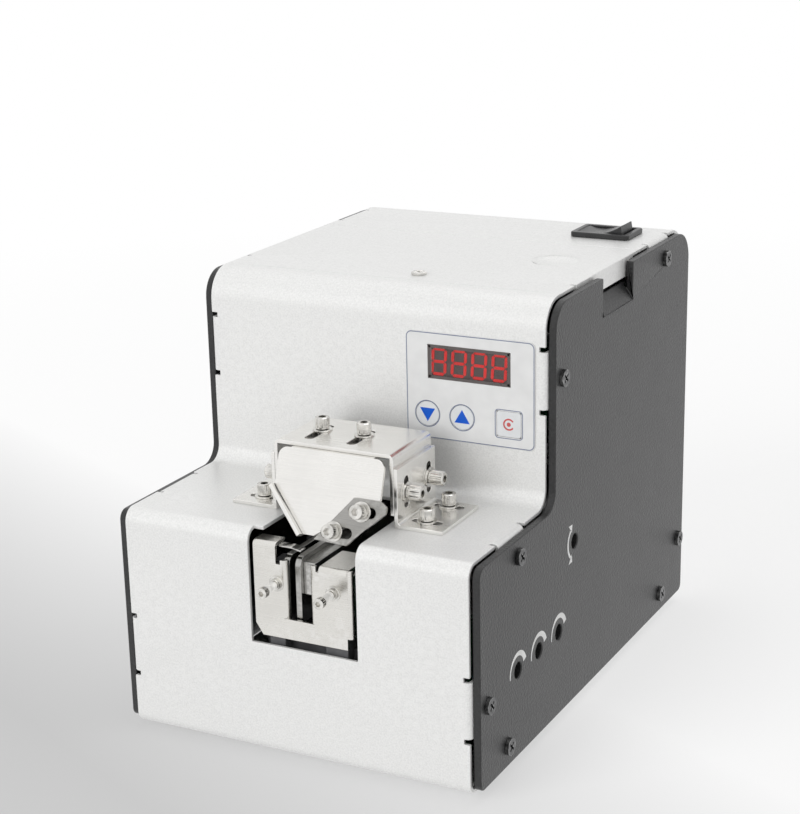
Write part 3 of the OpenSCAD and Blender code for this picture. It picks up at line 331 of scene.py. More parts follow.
SILVER = Finish("shell_steel", (0.82, 0.82, 0.81), 0.4, 0.3, Grain.SPECKLED, 0.5, 0.04, 0.4, (0.9, 0.9, 0.89),
                relief=0.09)
BLACK_PLATE = Finish("side_black", (0.017, 0.017, 0.0175), 0.36, 0.0, Grain.ROUGHCAST, 1.0, 0.25, 0.2,
                     (0.09, 0.09, 0.09), relief=0.22)
STAINLESS = Finish("stainless", (0.85, 0.838, 0.812), 0.25, 1.0, Grain.BRUSHED, 0.09, 0.03, 0.5, (0.9, 0.89, 0.87))
# The front plate's finish is a darker copy of the stainless finish: its darkness is painted shade.
FRONT_STEEL_PAINTED_SHADE = Finish("stainless", (0.74, 0.725, 0.69), 0.27, 1.0, Grain.BRUSHED, 0.09, 0.03, 0.5, (0.85, 0.84, 0.82),
                     tag="_front_shade")
GUIDE = Finish("guide_steel", (0.36, 0.354, 0.338), 0.22, 1.0, Grain.BRUSHED, 0.12, 0.1, 0.7, (0.75, 0.74, 0.72))
PLATED = Finish("screw_steel", (0.68, 0.668, 0.64), 0.16, 1.0, Grain.TURNED, 0.12, 0.12, 0.6, (0.85, 0.84, 0.8))
# The black screws' pale edge colour is partly wear and partly a painted highlight standing in for glints on the heads.
BLACK_SCREW = Finish("black_screw", (0.08, 0.08, 0.082), 0.16, 1.0, Grain.TURNED, 0.15, 0.2, 1.6, (0.8, 0.8, 0.79))
RUBBER = Finish("feet_rubber", (0.018, 0.018, 0.018), 0.7, 0.0, Grain.MOULDED, 0.3, 0.2)
FILM = Finish("overlay_film", (0.78, 0.782, 0.78), 0.42, 0.0, Grain.PRINTED, 0.05, 0.02)
KEYCAP = Finish("overlay_film", (0.76, 0.775, 0.79), 0.36, 0.0, Grain.PRINTED, 0.05, 0.02, tag="_key")
LINE = Finish("overlay_film", (0.2, 0.23, 0.32), 0.45, 0.0, Grain.PRINTED, 0.05, 0.05, tag="_line")
BLUE = Finish("overlay_film", (0.002, 0.1, 0.6), 0.4, 0.0, Grain.PRINTED, 0.05, 0.06, tag="_blue")
RED_PRINT = Finish("overlay_film", (0.62, 0.1, 0.1), 0.4, 0.0, Grain.PRINTED, 0.05, 0.06, tag="_red")
WHITE_PRINT = Finish("side_black", (0.86, 0.86, 0.85), 0.5, 0.0, Grain.PRINTED, 0.1, 0.05, tag="_print")
SMOKED = Finish("window_film", (0.1, 0.07, 0.068), 0.14, 0.0, Grain.PRINTED, 0.03, 0.05, cover=0.2, coat=0.3)
MASK = Finish("window_film", (0.1, 0.086, 0.083), 0.3, 0.0, Grain.PRINTED, 0.03, 0.05, tag="_mask")
LED = Finish("led_red", (0.72, 0.012, 0.01), 0.35, 0.0, Grain.PRINTED, 0.05, 0.05, glow=0.55)
LED_OFF = Finish("led_red", (0.13, 0.11, 0.105), 0.4, 0.0, Grain.MOULDED, 0.08, 0.1, tag="_body")
BOARD = Finish("board_green", (0.02, 0.12, 0.05), 0.35, 0.0, Grain.PRINTED, 0.15, 0.15, coat=0.3)
SWITCH = Finish("switch_black", (0.02, 0.02, 0.021), 0.3, 0.0, Grain.MOULDED, 0.12, 0.12)
RAIL = Finish("rail_steel", (0.42, 0.415, 0.40), 0.24, 1.0, Grain.BRUSHED, 0.14, 0.1, 0.7, (0.75, 0.74, 0.72))
DARK_STEEL = Finish("dark_steel", (0.13, 0.13, 0.13), 0.36, 0.85, Grain.TURNED, 0.18, 0.15, 0.5, (0.4, 0.4, 0.4))
ALUMINIUM = Finish("inner_aluminium", (0.55, 0.55, 0.56), 0.36, 1.0, Grain.TURNED, 0.18, 0.08)
# Dark grey of the inner parts: it stands in partly for the shade inside the openings, so part of it is painted shade.
INNER_GREY_AND_SHADE = Finish("inner_grey", (0.11, 0.11, 0.115), 0.5, 0.0, Grain.MOULDED, 0.2, 0.1)
BRISTLE = Finish("brush_bristle", (0.03, 0.03, 0.032), 0.7, 0.0, Grain.MOULDED, 0.5, 0.3)
BRASS = Finish("brass", (0.62, 0.42, 0.16), 0.28, 1.0, Grain.TURNED, 0.15, 0.1)
TRIMMER = Finish("trimmer_blue", (0.03, 0.12, 0.42), 0.4, 0.0, Grain.MOULDED, 0.12, 0.1)
TRIMMER_ROTOR = Finish("trimmer_blue", (0.06, 0.06, 0.06), 0.4, 0.0, Grain.MOULDED, 0.12, 0.1, tag="_rotor")
BELT = Finish("belt_rubber", (0.02, 0.02, 0.02), 0.62, 0.0, Grain.MOULDED, 0.3, 0.2)
MAGNET = Finish("magnet_black", (0.04, 0.04, 0.042), 0.38, 0.4, Grain.TURNED, 0.15, 0.15)


# ---------------------------------------------------------------- mesh helpers

def lathe(profile: list | tuple, steps: int = 32) -> bmesh.types.BMesh:
    """Spins a profile about Z.

    Args:
        profile: (radius, height) pairs.
        steps: the number of facets.

    Returns:
        A new mesh.
    """
    bm = bmesh.new()
    verts = [bm.verts.new((radius, 0.0, height)) for radius, height in profile]
    edges = [bm.edges.new(pair) for pair in zip(verts, verts[1:])]
    bmesh.ops.spin(bm, geom=verts + edges, cent=(0, 0, 0), axis=(0, 0, 1), angle=math.tau,
                   steps=steps, use_merge=True)
    bmesh.ops.remove_doubles(bm, verts=bm.verts, dist=1e-4)
    bmesh.ops.recalc_face_normals(bm, faces=bm.faces)
    return bm


def outline(points: list, thickness: float) -> bmesh.types.BMesh:
    """Raises a flat shape along Z.

    Args:
        points: its corners.
        thickness: its height above Z 0.

    Returns:
        A new mesh.
    """
    bm = bmesh.new()
    bm.faces.new([bm.verts.new((x, y, 0.0)) for x, y in points])
    raise_faces(bm, thickness)
    return bm


def raise_faces(bm: bmesh.types.BMesh, thickness: float) -> None:
    """Gives a flat mesh a thickness along Z.

    Args:
        bm: the flat mesh.
        thickness: its height.
    """
    grown = bmesh.ops.extrude_face_region(bm, geom=list(bm.faces))["geom"]
    tops = [part for part in grown if isinstance(part, bmesh.types.BMVert)]
    bmesh.ops.translate(bm, verts=tops, vec=(0, 0, thickness))
    bmesh.ops.recalc_face_normals(bm, faces=bm.faces)


def rounded_frame(width: float, height: float, radius: float, line: float,
                  thickness: float) -> bmesh.types.BMesh:
    """Makes a rounded rectangle, or only its rim.

    Args:
        width: its width.
        height: its height.
        radius: its corners' radius.
        line: the rim's width, or 0 for the whole face.
        thickness: its height along Z.

    Returns:
        A new mesh.
    """
    bm = bmesh.new()
    x, y = width / 2, height / 2
    bm.faces.new([bm.verts.new((a, b, 0.0)) for a, b in ((-x, -y), (x, -y), (x, y), (-x, y))])
    bmesh.ops.bevel(bm, geom=list(bm.verts), offset=radius, affect="VERTICES", segments=8,
                    profile=0.5, material=-1)
    if line:
        inner = list(bm.faces)
        bmesh.ops.inset_region(bm, faces=inner, thickness=line, use_boundary=True, use_even_offset=True)
        bmesh.ops.delete(bm, geom=inner, context="FACES")
    raise_faces(bm, thickness)
    return bm


def wedge_arc(radius: float, thin: float, thick: float, start: float, end: float,
              height: float) -> bmesh.types.BMesh:
    """Makes a printed arc whose width grows along it.

    Args:
        radius: the outer radius.
        thin: the width at the start.
        thick: the width at the end.
        start: the starting angle in degrees.
        end: the closing angle in degrees.
        height: the print's height along Z.

    Returns:
        A new mesh.
    """
    bm = bmesh.new()
    verts = [bm.verts.new((r, 0.0, 0.0)) for r in (radius - thick, radius)]
    edge = bm.edges.new(verts)
    sweep = math.radians(end - start)
    bmesh.ops.spin(bm, geom=verts + [edge], cent=(0, 0, 0), axis=(0, 0, 1), angle=sweep,
                   steps=36, use_merge=False)
    for vert in bm.verts:
        if vert.co.length < radius - thick / 2:
            angle = math.atan2(vert.co.y, vert.co.x)
            share = (angle % math.tau if sweep > 0 else (-angle) % math.tau) / abs(sweep)
            share = 0.0 if share > 1.02 else min(share, 1.0)
            vert.co *= (radius - thin - (thick - thin) * share) / vert.co.length
    turned = Matrix.Rotation(math.radians(start), 3, "Z")
    bmesh.ops.rotate(bm, verts=bm.verts, cent=(0, 0, 0), matrix=turned)
    raise_faces(bm, height)
    return bm


def facing(axis: str, place: tuple) -> Matrix:
    """Turns a shape that lies in XY so that its Z points along another axis.

    Args:
        axis: "+X", "-X", "-Y" or "+Z". Seen from that side, the shape's own X points right and its Y up.
        place: where its origin goes.

    Returns:
        The matrix.
    """
    columns = {"+X": ((0, 1, 0), (0, 0, 1), (1, 0, 0)), "-X": ((0, -1, 0), (0, 0, 1), (-1, 0, 0)),
               "-Y": ((1, 0, 0), (0, 0, 1), (0, -1, 0)), "+Z": ((1, 0, 0), (0, 1, 0), (0, 0, 1))}[axis]
    return Matrix.Translation(place) @ Matrix(columns).transposed().to_4x4()


class Shop:
    """Makes finished pieces and puts them on their bodies."""

    RIDERS = {"lid": ("lid", "lid_screw", "lid_magnet"), "hood_brackets": ("left_bracket", "right_bracket"),
              "hood": ("hood",), "shield": ("shield_plate",), "guide": ("guide_plate",),
              "adjusting_rail": ("right_rail", "rail_bar"), "down_button": ("down_button",),
              "up_button": ("up_button",), "set_button": ("set_button",), "switch_rocker": ("switch_rocker",),
              "speed_trimmer": ("trimmer_1",), "vibration_trimmer": ("trimmer_2",),
              "roller_trimmer": ("trimmer_3",), "lock_gate": ("lock_gate_shaft",),
              "drum": ("lifting_drum", "drum_pulley"), "brush": ("brush_shaft", "roller_brush"),
              "eccentric": ("eccentric_weight",)}
    MERGE = 2e-6
    FLAT = math.radians(0.4)
    CREASE = math.radians(35.0)

    def __init__(self, loaded: dict) -> None:
        """Finds the plates' frame.

        Args:
            loaded: what the frame's loader returned.
        """
        self.nodes = loaded["nodes"]
        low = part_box("left_side_plate")[0]
        self.home = Matrix.Translation((0.0, low[1], low[2])) @ Matrix.Scale(MM, 4)
        self.materials = {}
        bpy.context.view_layer.update()

    def material(self, finish: Finish) -> bpy.types.Material:
        """Builds a finish once.

        Args:
            finish: the finish.

        Returns:
            Its material.
        """
        if finish not in self.materials:
            self.materials[finish] = finish.build()
        return self.materials[finish]

    def body(self, node: str) -> str:
        """Names the body that a node rides on.

        Args:
            node: the CAD node.

        Returns:
            The body's name.
        """
        return next((body for body, nodes in self.RIDERS.items() if node in nodes), "cabinet")

    def publish(self, name: str, bm: bmesh.types.BMesh, finish: Finish, body: str, nodes: tuple = (),
                edge: float = 0.0) -> None:
        """Turns a mesh in the shared frame into a finished piece.

        Args:
            name: the piece's name.
            bm: the mesh, in metres.
            finish: its finish.
            body: the body that it rides on.
            nodes: the CAD nodes that it stands for.
            edge: the width of its broken edges in millimetres, or 0.
        """
        mesh = bpy.data.meshes.new(name)
        bm.to_mesh(mesh)
        bm.free()
        mesh.materials.append(self.material(finish))
        mesh.shade_smooth()
        mesh.set_sharp_from_angle(angle=self.CREASE)
        piece = bpy.data.objects.new(name, mesh)
        bpy.context.scene.collection.objects.link(piece)
        if edge:
            bevel = piece.modifiers.new("broken_edges", "BEVEL")
            bevel.width = edge * MM
            bevel.segments = 2
            bevel.limit_method = "ANGLE"
            bevel.angle_limit = self.CREASE
            bevel.use_clamp_overlap = False
            normals = piece.modifiers.new("face_normals", "WEIGHTED_NORMAL")
            normals.keep_sharp = True
        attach(piece, body)
        if nodes:
            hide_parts(*nodes)
        log.info("%s: %d faces on %s", name, len(mesh.polygons), body)

    def make(self, name: str, parts: list, finish: Finish, body: str, nodes: tuple = ()) -> None:
        """Joins shapes in plate millimetres into one piece.

        Args:
            name: the piece's name.
            parts: (mesh, matrix) pairs. Each mesh is used up.
            finish: its finish.
            body: the body that it rides on.
            nodes: the CAD nodes that it stands for.
        """
        whole = bmesh.new()
        for bm, matrix in parts:
            bmesh.ops.transform(bm, matrix=self.home @ matrix, verts=bm.verts)
            if matrix.determinant() < 0:
                bmesh.ops.reverse_faces(bm, faces=bm.faces)
            scratch = bpy.data.meshes.new("scratch")
            bm.to_mesh(scratch)
            bm.free()
            whole.from_mesh(scratch)
            bpy.data.meshes.remove(scratch)
        self.publish(name, whole, finish, body, nodes)

    def dress(self, node: str, finish: Finish, edge: float) -> None:
        """Finishes a merged copy of a CAD node, with broken edges and smooth bends.

        Args:
            node: the CAD node.
            finish: its finish.
            edge: the width of its broken edges in millimetres, or 0.
        """
        source = self.nodes[node]
        bm = bmesh.new()
        bm.from_mesh(source.data)
        bmesh.ops.transform(bm, matrix=source.matrix_world, verts=bm.verts)
        bmesh.ops.remove_doubles(bm, verts=bm.verts, dist=self.MERGE)
        bmesh.ops.dissolve_limit(bm, angle_limit=self.FLAT, verts=bm.verts, edges=bm.edges,
                                 use_dissolve_boundaries=False)
        self.publish(node + "_part", bm, finish, self.body(node), (node,), edge)


# ---------------------------------------------------------------- sub-assemblies

@dataclass(frozen=True)
class CabinetSizes:
    """The cabinet's printed marks, in plate millimetres."""

    face_x: float = 61.5
    print_t: float = 0.04
    knob_ys: tuple = (26.8, 42.5, 58.2)
    knob_z: float = 28.3
    arc_r: float = 6.2
    arc_thin: float = 0.5
    arc_thick: float = 2.1
    arc_turns: tuple = (190.0, 20.0)
    gate_y: float = 70.8
    gate_z: float = 54.4
    gate_r: float = 6.0
    gate_line: float = 0.95
    gate_turns: tuple = (124.0, 236.0)
    arrow: float = 1.9
    arrow_turn: float = 52.0
    arrow_in: float = 0.3
    tip_rise: float = 0.8
    outer_root: tuple = (1.5, 0.1)
    inner_root: tuple = (0.2, 1.4)


class Cabinet:
    """The folded shells, the side plates and the lid."""

    PARTS = (("front_shell", SILVER, 0.18), ("rear_shell", SILVER, 0.18), ("base_plate", SILVER, 0.0),
             ("lid", SILVER, 0.18), ("left_side_plate", BLACK_PLATE, 0.35), ("right_side_plate", BLACK_PLATE, 0.35),
             ("side_plate_screws", BLACK_SCREW, 0.1), ("rubber_feet", RUBBER, 0.4), ("lid_screw", PLATED, 0.2),
             ("lid_magnet", MAGNET, 0.2), ("lid_pivot_pins", PLATED, 0.15))

    def __init__(self, shop: Shop, sizes: CabinetSizes) -> None:
        """Keeps its tools.

        Args:
            shop: the shop.
            sizes: the sizes.
        """
        self.shop = shop
        self.sizes = sizes

    def build(self) -> None:
        """Finishes the cabinet and prints its marks."""
        for node, finish, edge in self.PARTS:
            self.shop.dress(node, finish, edge)
        self.marks()

    def marks(self) -> None:
        """Prints the wedge scales of the three trimmers and the bow of the lock gate."""
        s = self.sizes
        scales = [(wedge_arc(s.arc_r, s.arc_thin, s.arc_thick, *s.arc_turns, s.print_t),
                   facing("+X", (s.face_x, y, s.knob_z))) for y in s.knob_ys]
        self.shop.make("trimmer_scales", scales, WHITE_PRINT, "cabinet")
        place = facing("+X", (s.face_x, s.gate_y, s.gate_z))
        bow = [(wedge_arc(s.gate_r, s.gate_line, s.gate_line, *s.gate_turns, s.print_t), place)]
        for side in (1, -1):
            angle = math.radians(180 - side * s.arrow_turn)
            tip = (s.gate_r * math.cos(angle) - s.arrow_in + s.arrow,
                   s.gate_r * math.sin(angle) + side * s.arrow * s.tip_rise)
            root_a = (tip[0] - s.arrow * s.outer_root[0], tip[1] + side * s.outer_root[1])
            root_b = (tip[0] - s.arrow * s.inner_root[0], tip[1] - side * s.arrow * s.inner_root[1])
            bow.append((outline([tip, root_a, root_b], s.print_t), place))
        self.shop.make("lock_gate_bow", bow, WHITE_PRINT, "cabinet")


@dataclass(frozen=True)
class PanelSizes:
    """The display overlay, in plate millimetres."""

    x0: float = 12.1
    z0: float = 88.3
    width: float = 43.3
    height: float = 34.1
    face_y: float = 53.4
    print_t: float = 0.03
    window_x: float = 33.5
    window_z: float = 113.1
    window_w: float = 27.8
    window_h: float = 10.8
    digit_w: float = 4.3
    digit_h: float = 7.9
    digit_line: float = 0.92
    digit_pitch: float = 6.75
    mask: float = 1.0
    mask_r: float = 0.3
    digit_y: float = 54.2
    digit_shift: float = 0.25
    slant: float = 0.06
    bar_t: float = 0.15
    level_gap: float = 0.4
    upright_gap: float = 0.35
    block_margin: float = 1.0
    block_r: float = 0.4
    block_t: float = 0.3
    block_back: float = 0.35
    down: tuple = (19.3, 96.2)
    up: tuple = (31.1, 96.2)
    square: tuple = (46.8, 95.9)
    button_r: float = 3.9
    square_w: float = 8.0
    line: float = 0.3
    border_r: float = 1.9
    ring_out: float = 0.45
    ring_end: float = 359.9
    square_out: float = 1.3
    square_r: float = 1.2
    square_line: float = 0.28
    sign_half: float = 2.6
    sign_low: float = 1.8
    sign_high: float = 2.5
    sign_r: float = 1.9
    sign_line: float = 0.5
    sign_turns: tuple = (35.0, 325.0)
    dot_w: float = 1.3
    dot_r: float = 0.6


class ControlPanel:
    """The overlay with its display, its three buttons and the rocker switch."""

    PARTS = (("display_overlay", FILM, 0.08), ("display_window", SMOKED, 0.0), ("display_board", BOARD, 0.0),
             ("down_button", KEYCAP, 0.12), ("up_button", KEYCAP, 0.12), ("set_button", KEYCAP, 0.12),
             ("switch_body", SWITCH, 0.4), ("switch_rocker", SWITCH, 0.3), ("dc_inlet", SWITCH, 0.0),
             ("main_board", BOARD, 0.0), ("trimmer_bodies", TRIMMER, 0.15), ("trimmer_1", TRIMMER_ROTOR, 0.1),
             ("trimmer_2", TRIMMER_ROTOR, 0.1), ("trimmer_3", TRIMMER_ROTOR, 0.1))

    def __init__(self, shop: Shop, sizes: PanelSizes) -> None:
        """Keeps its tools.

        Args:
            shop: the shop.
            sizes: the sizes.
        """
        self.shop = shop
        self.sizes = sizes

    def build(self) -> None:
        """Finishes the panel."""
        for node, finish, edge in self.PARTS:
            self.shop.dress(node, finish, edge)
        self.digits()
        self.prints()

    def segment(self, x: float, z: float, length: float, upright: bool) -> bmesh.types.BMesh:
        """Makes one bar of a figure, with pointed ends and the figure's slant.

        Args:
            x: its centre.
            z: its centre.
            length: its length.
            upright: whether it stands.

        Returns:
            A new mesh.
        """
        half, line = length / 2, self.sizes.digit_line / 2
        bar = [(-half, 0), (-half + line, -line), (half - line, -line), (half, 0), (half - line, line),
               (-half + line, line)]
        bar = [(-b, a) for a, b in bar] if upright else bar
        return outline([(x + a + (z + b) * self.sizes.slant, z + b) for a, b in bar],
                       self.sizes.bar_t)

    def digits(self) -> None:
        """Makes the display's block and its four figures."""
        s = self.sizes
        block = rounded_frame(s.window_w - s.block_margin, s.window_h - s.block_margin, s.block_r, 0.0, s.block_t)
        place = facing("-Y", (s.window_x, s.digit_y + s.block_back, s.window_z))
        self.shop.make("display_block", [(block, place)], LED_OFF, "cabinet", ("display_digits",))
        lit = []
        reach = s.digit_h / 2 - s.upright_gap
        for number in range(4):
            x = (number - 1.5) * s.digit_pitch - s.digit_shift
            for z in (-s.digit_h / 2, 0.0, s.digit_h / 2):
                lit.append(self.segment(x, z, s.digit_w - s.level_gap, False))
            for side in (-1, 1):
                for z in (-s.digit_h / 4, s.digit_h / 4):
                    lit.append(self.segment(x + side * s.digit_w / 2, z, reach, True))
        front = facing("-Y", (s.window_x, s.digit_y, s.window_z))
        self.shop.make("display_figures", [(bar, front) for bar in lit], LED, "cabinet")

    def prints(self) -> None:
        """Prints the overlay's border, the rings round the buttons and the buttons' signs."""
        s = self.sizes
        y = s.face_y
        border = rounded_frame(s.width - s.line, s.height - s.line, s.border_r, s.line, s.print_t)
        middle = (s.x0 + s.width / 2, y, s.z0 + s.height / 2)
        mask = rounded_frame(s.window_w, s.window_h, s.mask_r, s.mask, s.print_t)
        self.shop.make("window_mask", [(mask, facing("-Y", (s.window_x, y, s.window_z)))], MASK, "cabinet")
        lines = [(border, facing("-Y", middle))]
        for x, z in (s.down, s.up):
            ring = wedge_arc(s.button_r + s.ring_out, s.line, s.line, 0.0, s.ring_end, s.print_t)
            lines.append((ring, facing("-Y", (x, y, z))))
        side = s.square_w + s.square_out
        square = rounded_frame(side, side, s.square_r, s.square_line, s.print_t)
        lines.append((square, facing("-Y", (s.square[0], y, s.square[1]))))
        self.shop.make("overlay_lines", lines, LINE, "cabinet")
        for name, (x, z), turn in (("down_button", s.down, -1), ("up_button", s.up, 1)):
            low, high = -s.sign_low * turn, s.sign_high * turn
            sign = outline([(-s.sign_half, low), (s.sign_half, low), (0.0, high)][::turn], s.print_t)
            self.shop.make(name + "_sign", [(sign, facing("-Y", (x, y, z)))], BLUE, name)
        ring = wedge_arc(s.sign_r, s.sign_line, s.sign_line, *s.sign_turns, s.print_t)
        dot = rounded_frame(s.dot_w, s.dot_w, s.dot_r, 0.0, s.print_t)
        place = facing("-Y", (s.square[0], y, s.square[1]))
        self.shop.make("set_button_sign", [(ring, place), (dot, place)], RED_PRINT, "set_button")


@dataclass(frozen=True)
class ScrewSizes:
    """A cap screw with its washers, in millimetres."""

    washer_d: float = 6.2
    washer_t: float = 0.5
    spring_t: float = 0.8
    head_d: float = 4.5
    shank_d: float = 2.5
    key: float = 2.5
    key_depth: float = 1.5
    pitch: float = 0.45
    thread_depth: float = 0.25
    knurls: int = 48
    knurl_share: float = 0.95
    rim: float = 0.3
    rim_depth: float = 0.25
    chamfer: float = 0.08
    spring_in: float = 0.12
    spring_gap: float = 0.1
    spring_rise: float = 0.18


class CapScrew:
    """A knurled socket-head screw on a spring washer and a plain washer."""

    def __init__(self, sizes: ScrewSizes) -> None:
        """Keeps the sizes.

        Args:
            sizes: the sizes.
        """
        self.sizes = sizes

    def head(self, height: float, diameter: float, key: float) -> bmesh.types.BMesh:
        """Makes a knurled head with a six-sided socket, standing on Z 0.

        Args:
            height: its height.
            diameter: its diameter.
            key: the socket's width over its corners.

        Returns:
            A new mesh.
        """
        s = self.sizes
        bm = bmesh.new()
        radius = diameter / 2
        bmesh.ops.create_cone(bm, cap_ends=True, segments=s.knurls, radius1=radius, radius2=radius, depth=height,
                              matrix=Matrix.Translation((0, 0, height / 2)))
        for vert in bm.verts:
            if round(math.atan2(vert.co.y, vert.co.x) / math.tau * s.knurls) % 2:
                vert.co.x *= s.knurl_share
                vert.co.y *= s.knurl_share
        top = max(bm.faces, key=lambda face: face.calc_center_median().z)
        rim = bmesh.ops.inset_region(bm, faces=[top], thickness=s.rim, depth=0.0)["faces"]
        outer = list({v for f in rim for v in f.verts} - set(top.verts))
        bmesh.ops.translate(bm, verts=outer, vec=(0, 0, -s.rim_depth))
        bmesh.ops.inset_region(bm, faces=[top], thickness=radius - s.rim - key / 2, depth=0.0)
        sixth = math.pi / 3
        for vert in top.verts:
            angle = math.atan2(vert.co.y, vert.co.x)
            reach = key / 2 * math.cos(sixth / 2) / math.cos(angle % sixth - sixth / 2)
            vert.co.x, vert.co.y = reach * math.cos(angle), reach * math.sin(angle)
        floor = bmesh.ops.extrude_discrete_faces(bm, faces=[top])["faces"]
        bmesh.ops.translate(bm, verts=list(floor[0].verts), vec=(0, 0, -s.key_depth))
        return bm

    def parts(self, shank: float, height: float, place: Matrix) -> list:
        """Makes a whole screw.

        Args:
            shank: the length below the seat.
            height: the head's height.
            place: where the seat's centre goes, with Z out of the seat.

        Returns:
            (mesh, matrix) pairs.
        """
        s = self.sizes
        out, c, gap = s.washer_d / 2, s.chamfer, s.spring_gap
        washer = lathe([(s.shank_d / 2, 0), (out - c, 0), (out, c), (out, s.washer_t - c), (out - c, s.washer_t),
                        (s.shank_d / 2, s.washer_t)], 40)
        r, top = s.head_d / 2 - s.spring_in, s.spring_t
        spring = lathe([(s.shank_d / 2, gap), (r - c, gap), (r, gap + c), (r, top - gap - c), (r - c, top - gap),
                        (s.shank_d / 2, top - gap)], 36)
        bmesh.ops.bisect_plane(spring, geom=list(spring.verts) + list(spring.edges) + list(spring.faces),
                               plane_co=(0, 0, 0), plane_no=(0, 1, 0))
        for vert in spring.verts:
            turn = math.atan2(vert.co.y, vert.co.x) / math.tau % 1.0
            vert.co.z += (turn - 0.5) * s.spring_rise
        seat = s.washer_t + s.spring_t
        thread = self.thread(shank, s.shank_d)
        return [(washer, place), (spring, place @ Matrix.Translation((0, 0, s.washer_t))),
                (self.head(height, s.head_d, s.key), place @ Matrix.Translation((0, 0, seat))),
                (thread, place @ Matrix.Translation((0, 0, seat)))]

    def thread(self, length: float, diameter: float) -> bmesh.types.BMesh:
        """Makes a threaded shank hanging below Z 0.

        Args:
            length: its length below the washers.
            diameter: its outer diameter.

        Returns:
            A new mesh.
        """
        s = self.sizes
        total = length + s.washer_t + s.spring_t
        turns = max(2, int(total / s.pitch))
        profile = [(0.0, -total)]
        for turn in range(turns):
            low = -total + turn * total / turns
            profile += [(diameter / 2 - s.thread_depth, low), (diameter / 2, low + 0.5 * total / turns)]
        profile += [(diameter / 2 - s.thread_depth, 0.0)]
        return lathe(profile, 24)


@dataclass(frozen=True)
class MechanismSizes:
    """Where the adjusting screws sit, in plate millimetres. A screw is (length below the seat, head height)."""

    hood_mid: float = 5.1
    hood_half: float = 20.3
    sheet: float = 1.2
    play: float = 0.02
    screw_ys: tuple = (24.0, 39.0)
    side_z: float = 81.0
    shelf_z: float = 71.2
    foot_reach: float = 7.9
    top_xs: tuple = (-5.9, 8.6)
    top_y: float = 31.6
    top_z: float = 94.0
    shield_y: float = 16.2
    shield_z: float = 92.78
    shield_tilt: float = 18.0
    guide_screws: tuple = ((18.7, 16.0), (10.2, 23.0))
    stud_xs: tuple = (-5.4, 13.9)
    stud_z: float = 55.0
    stud_reach: float = 9.2
    stud_length: float = 15.7
    stud_d: float = 2.4
    stud_head: tuple = (2.2, 3.4, 1.8)
    side_screw: tuple = (3.6, 4.0)
    foot_screw: tuple = (4.5, 3.0)
    top_screw: tuple = (4.2, 3.0)
    guide_screw: tuple = (3.6, 3.0)


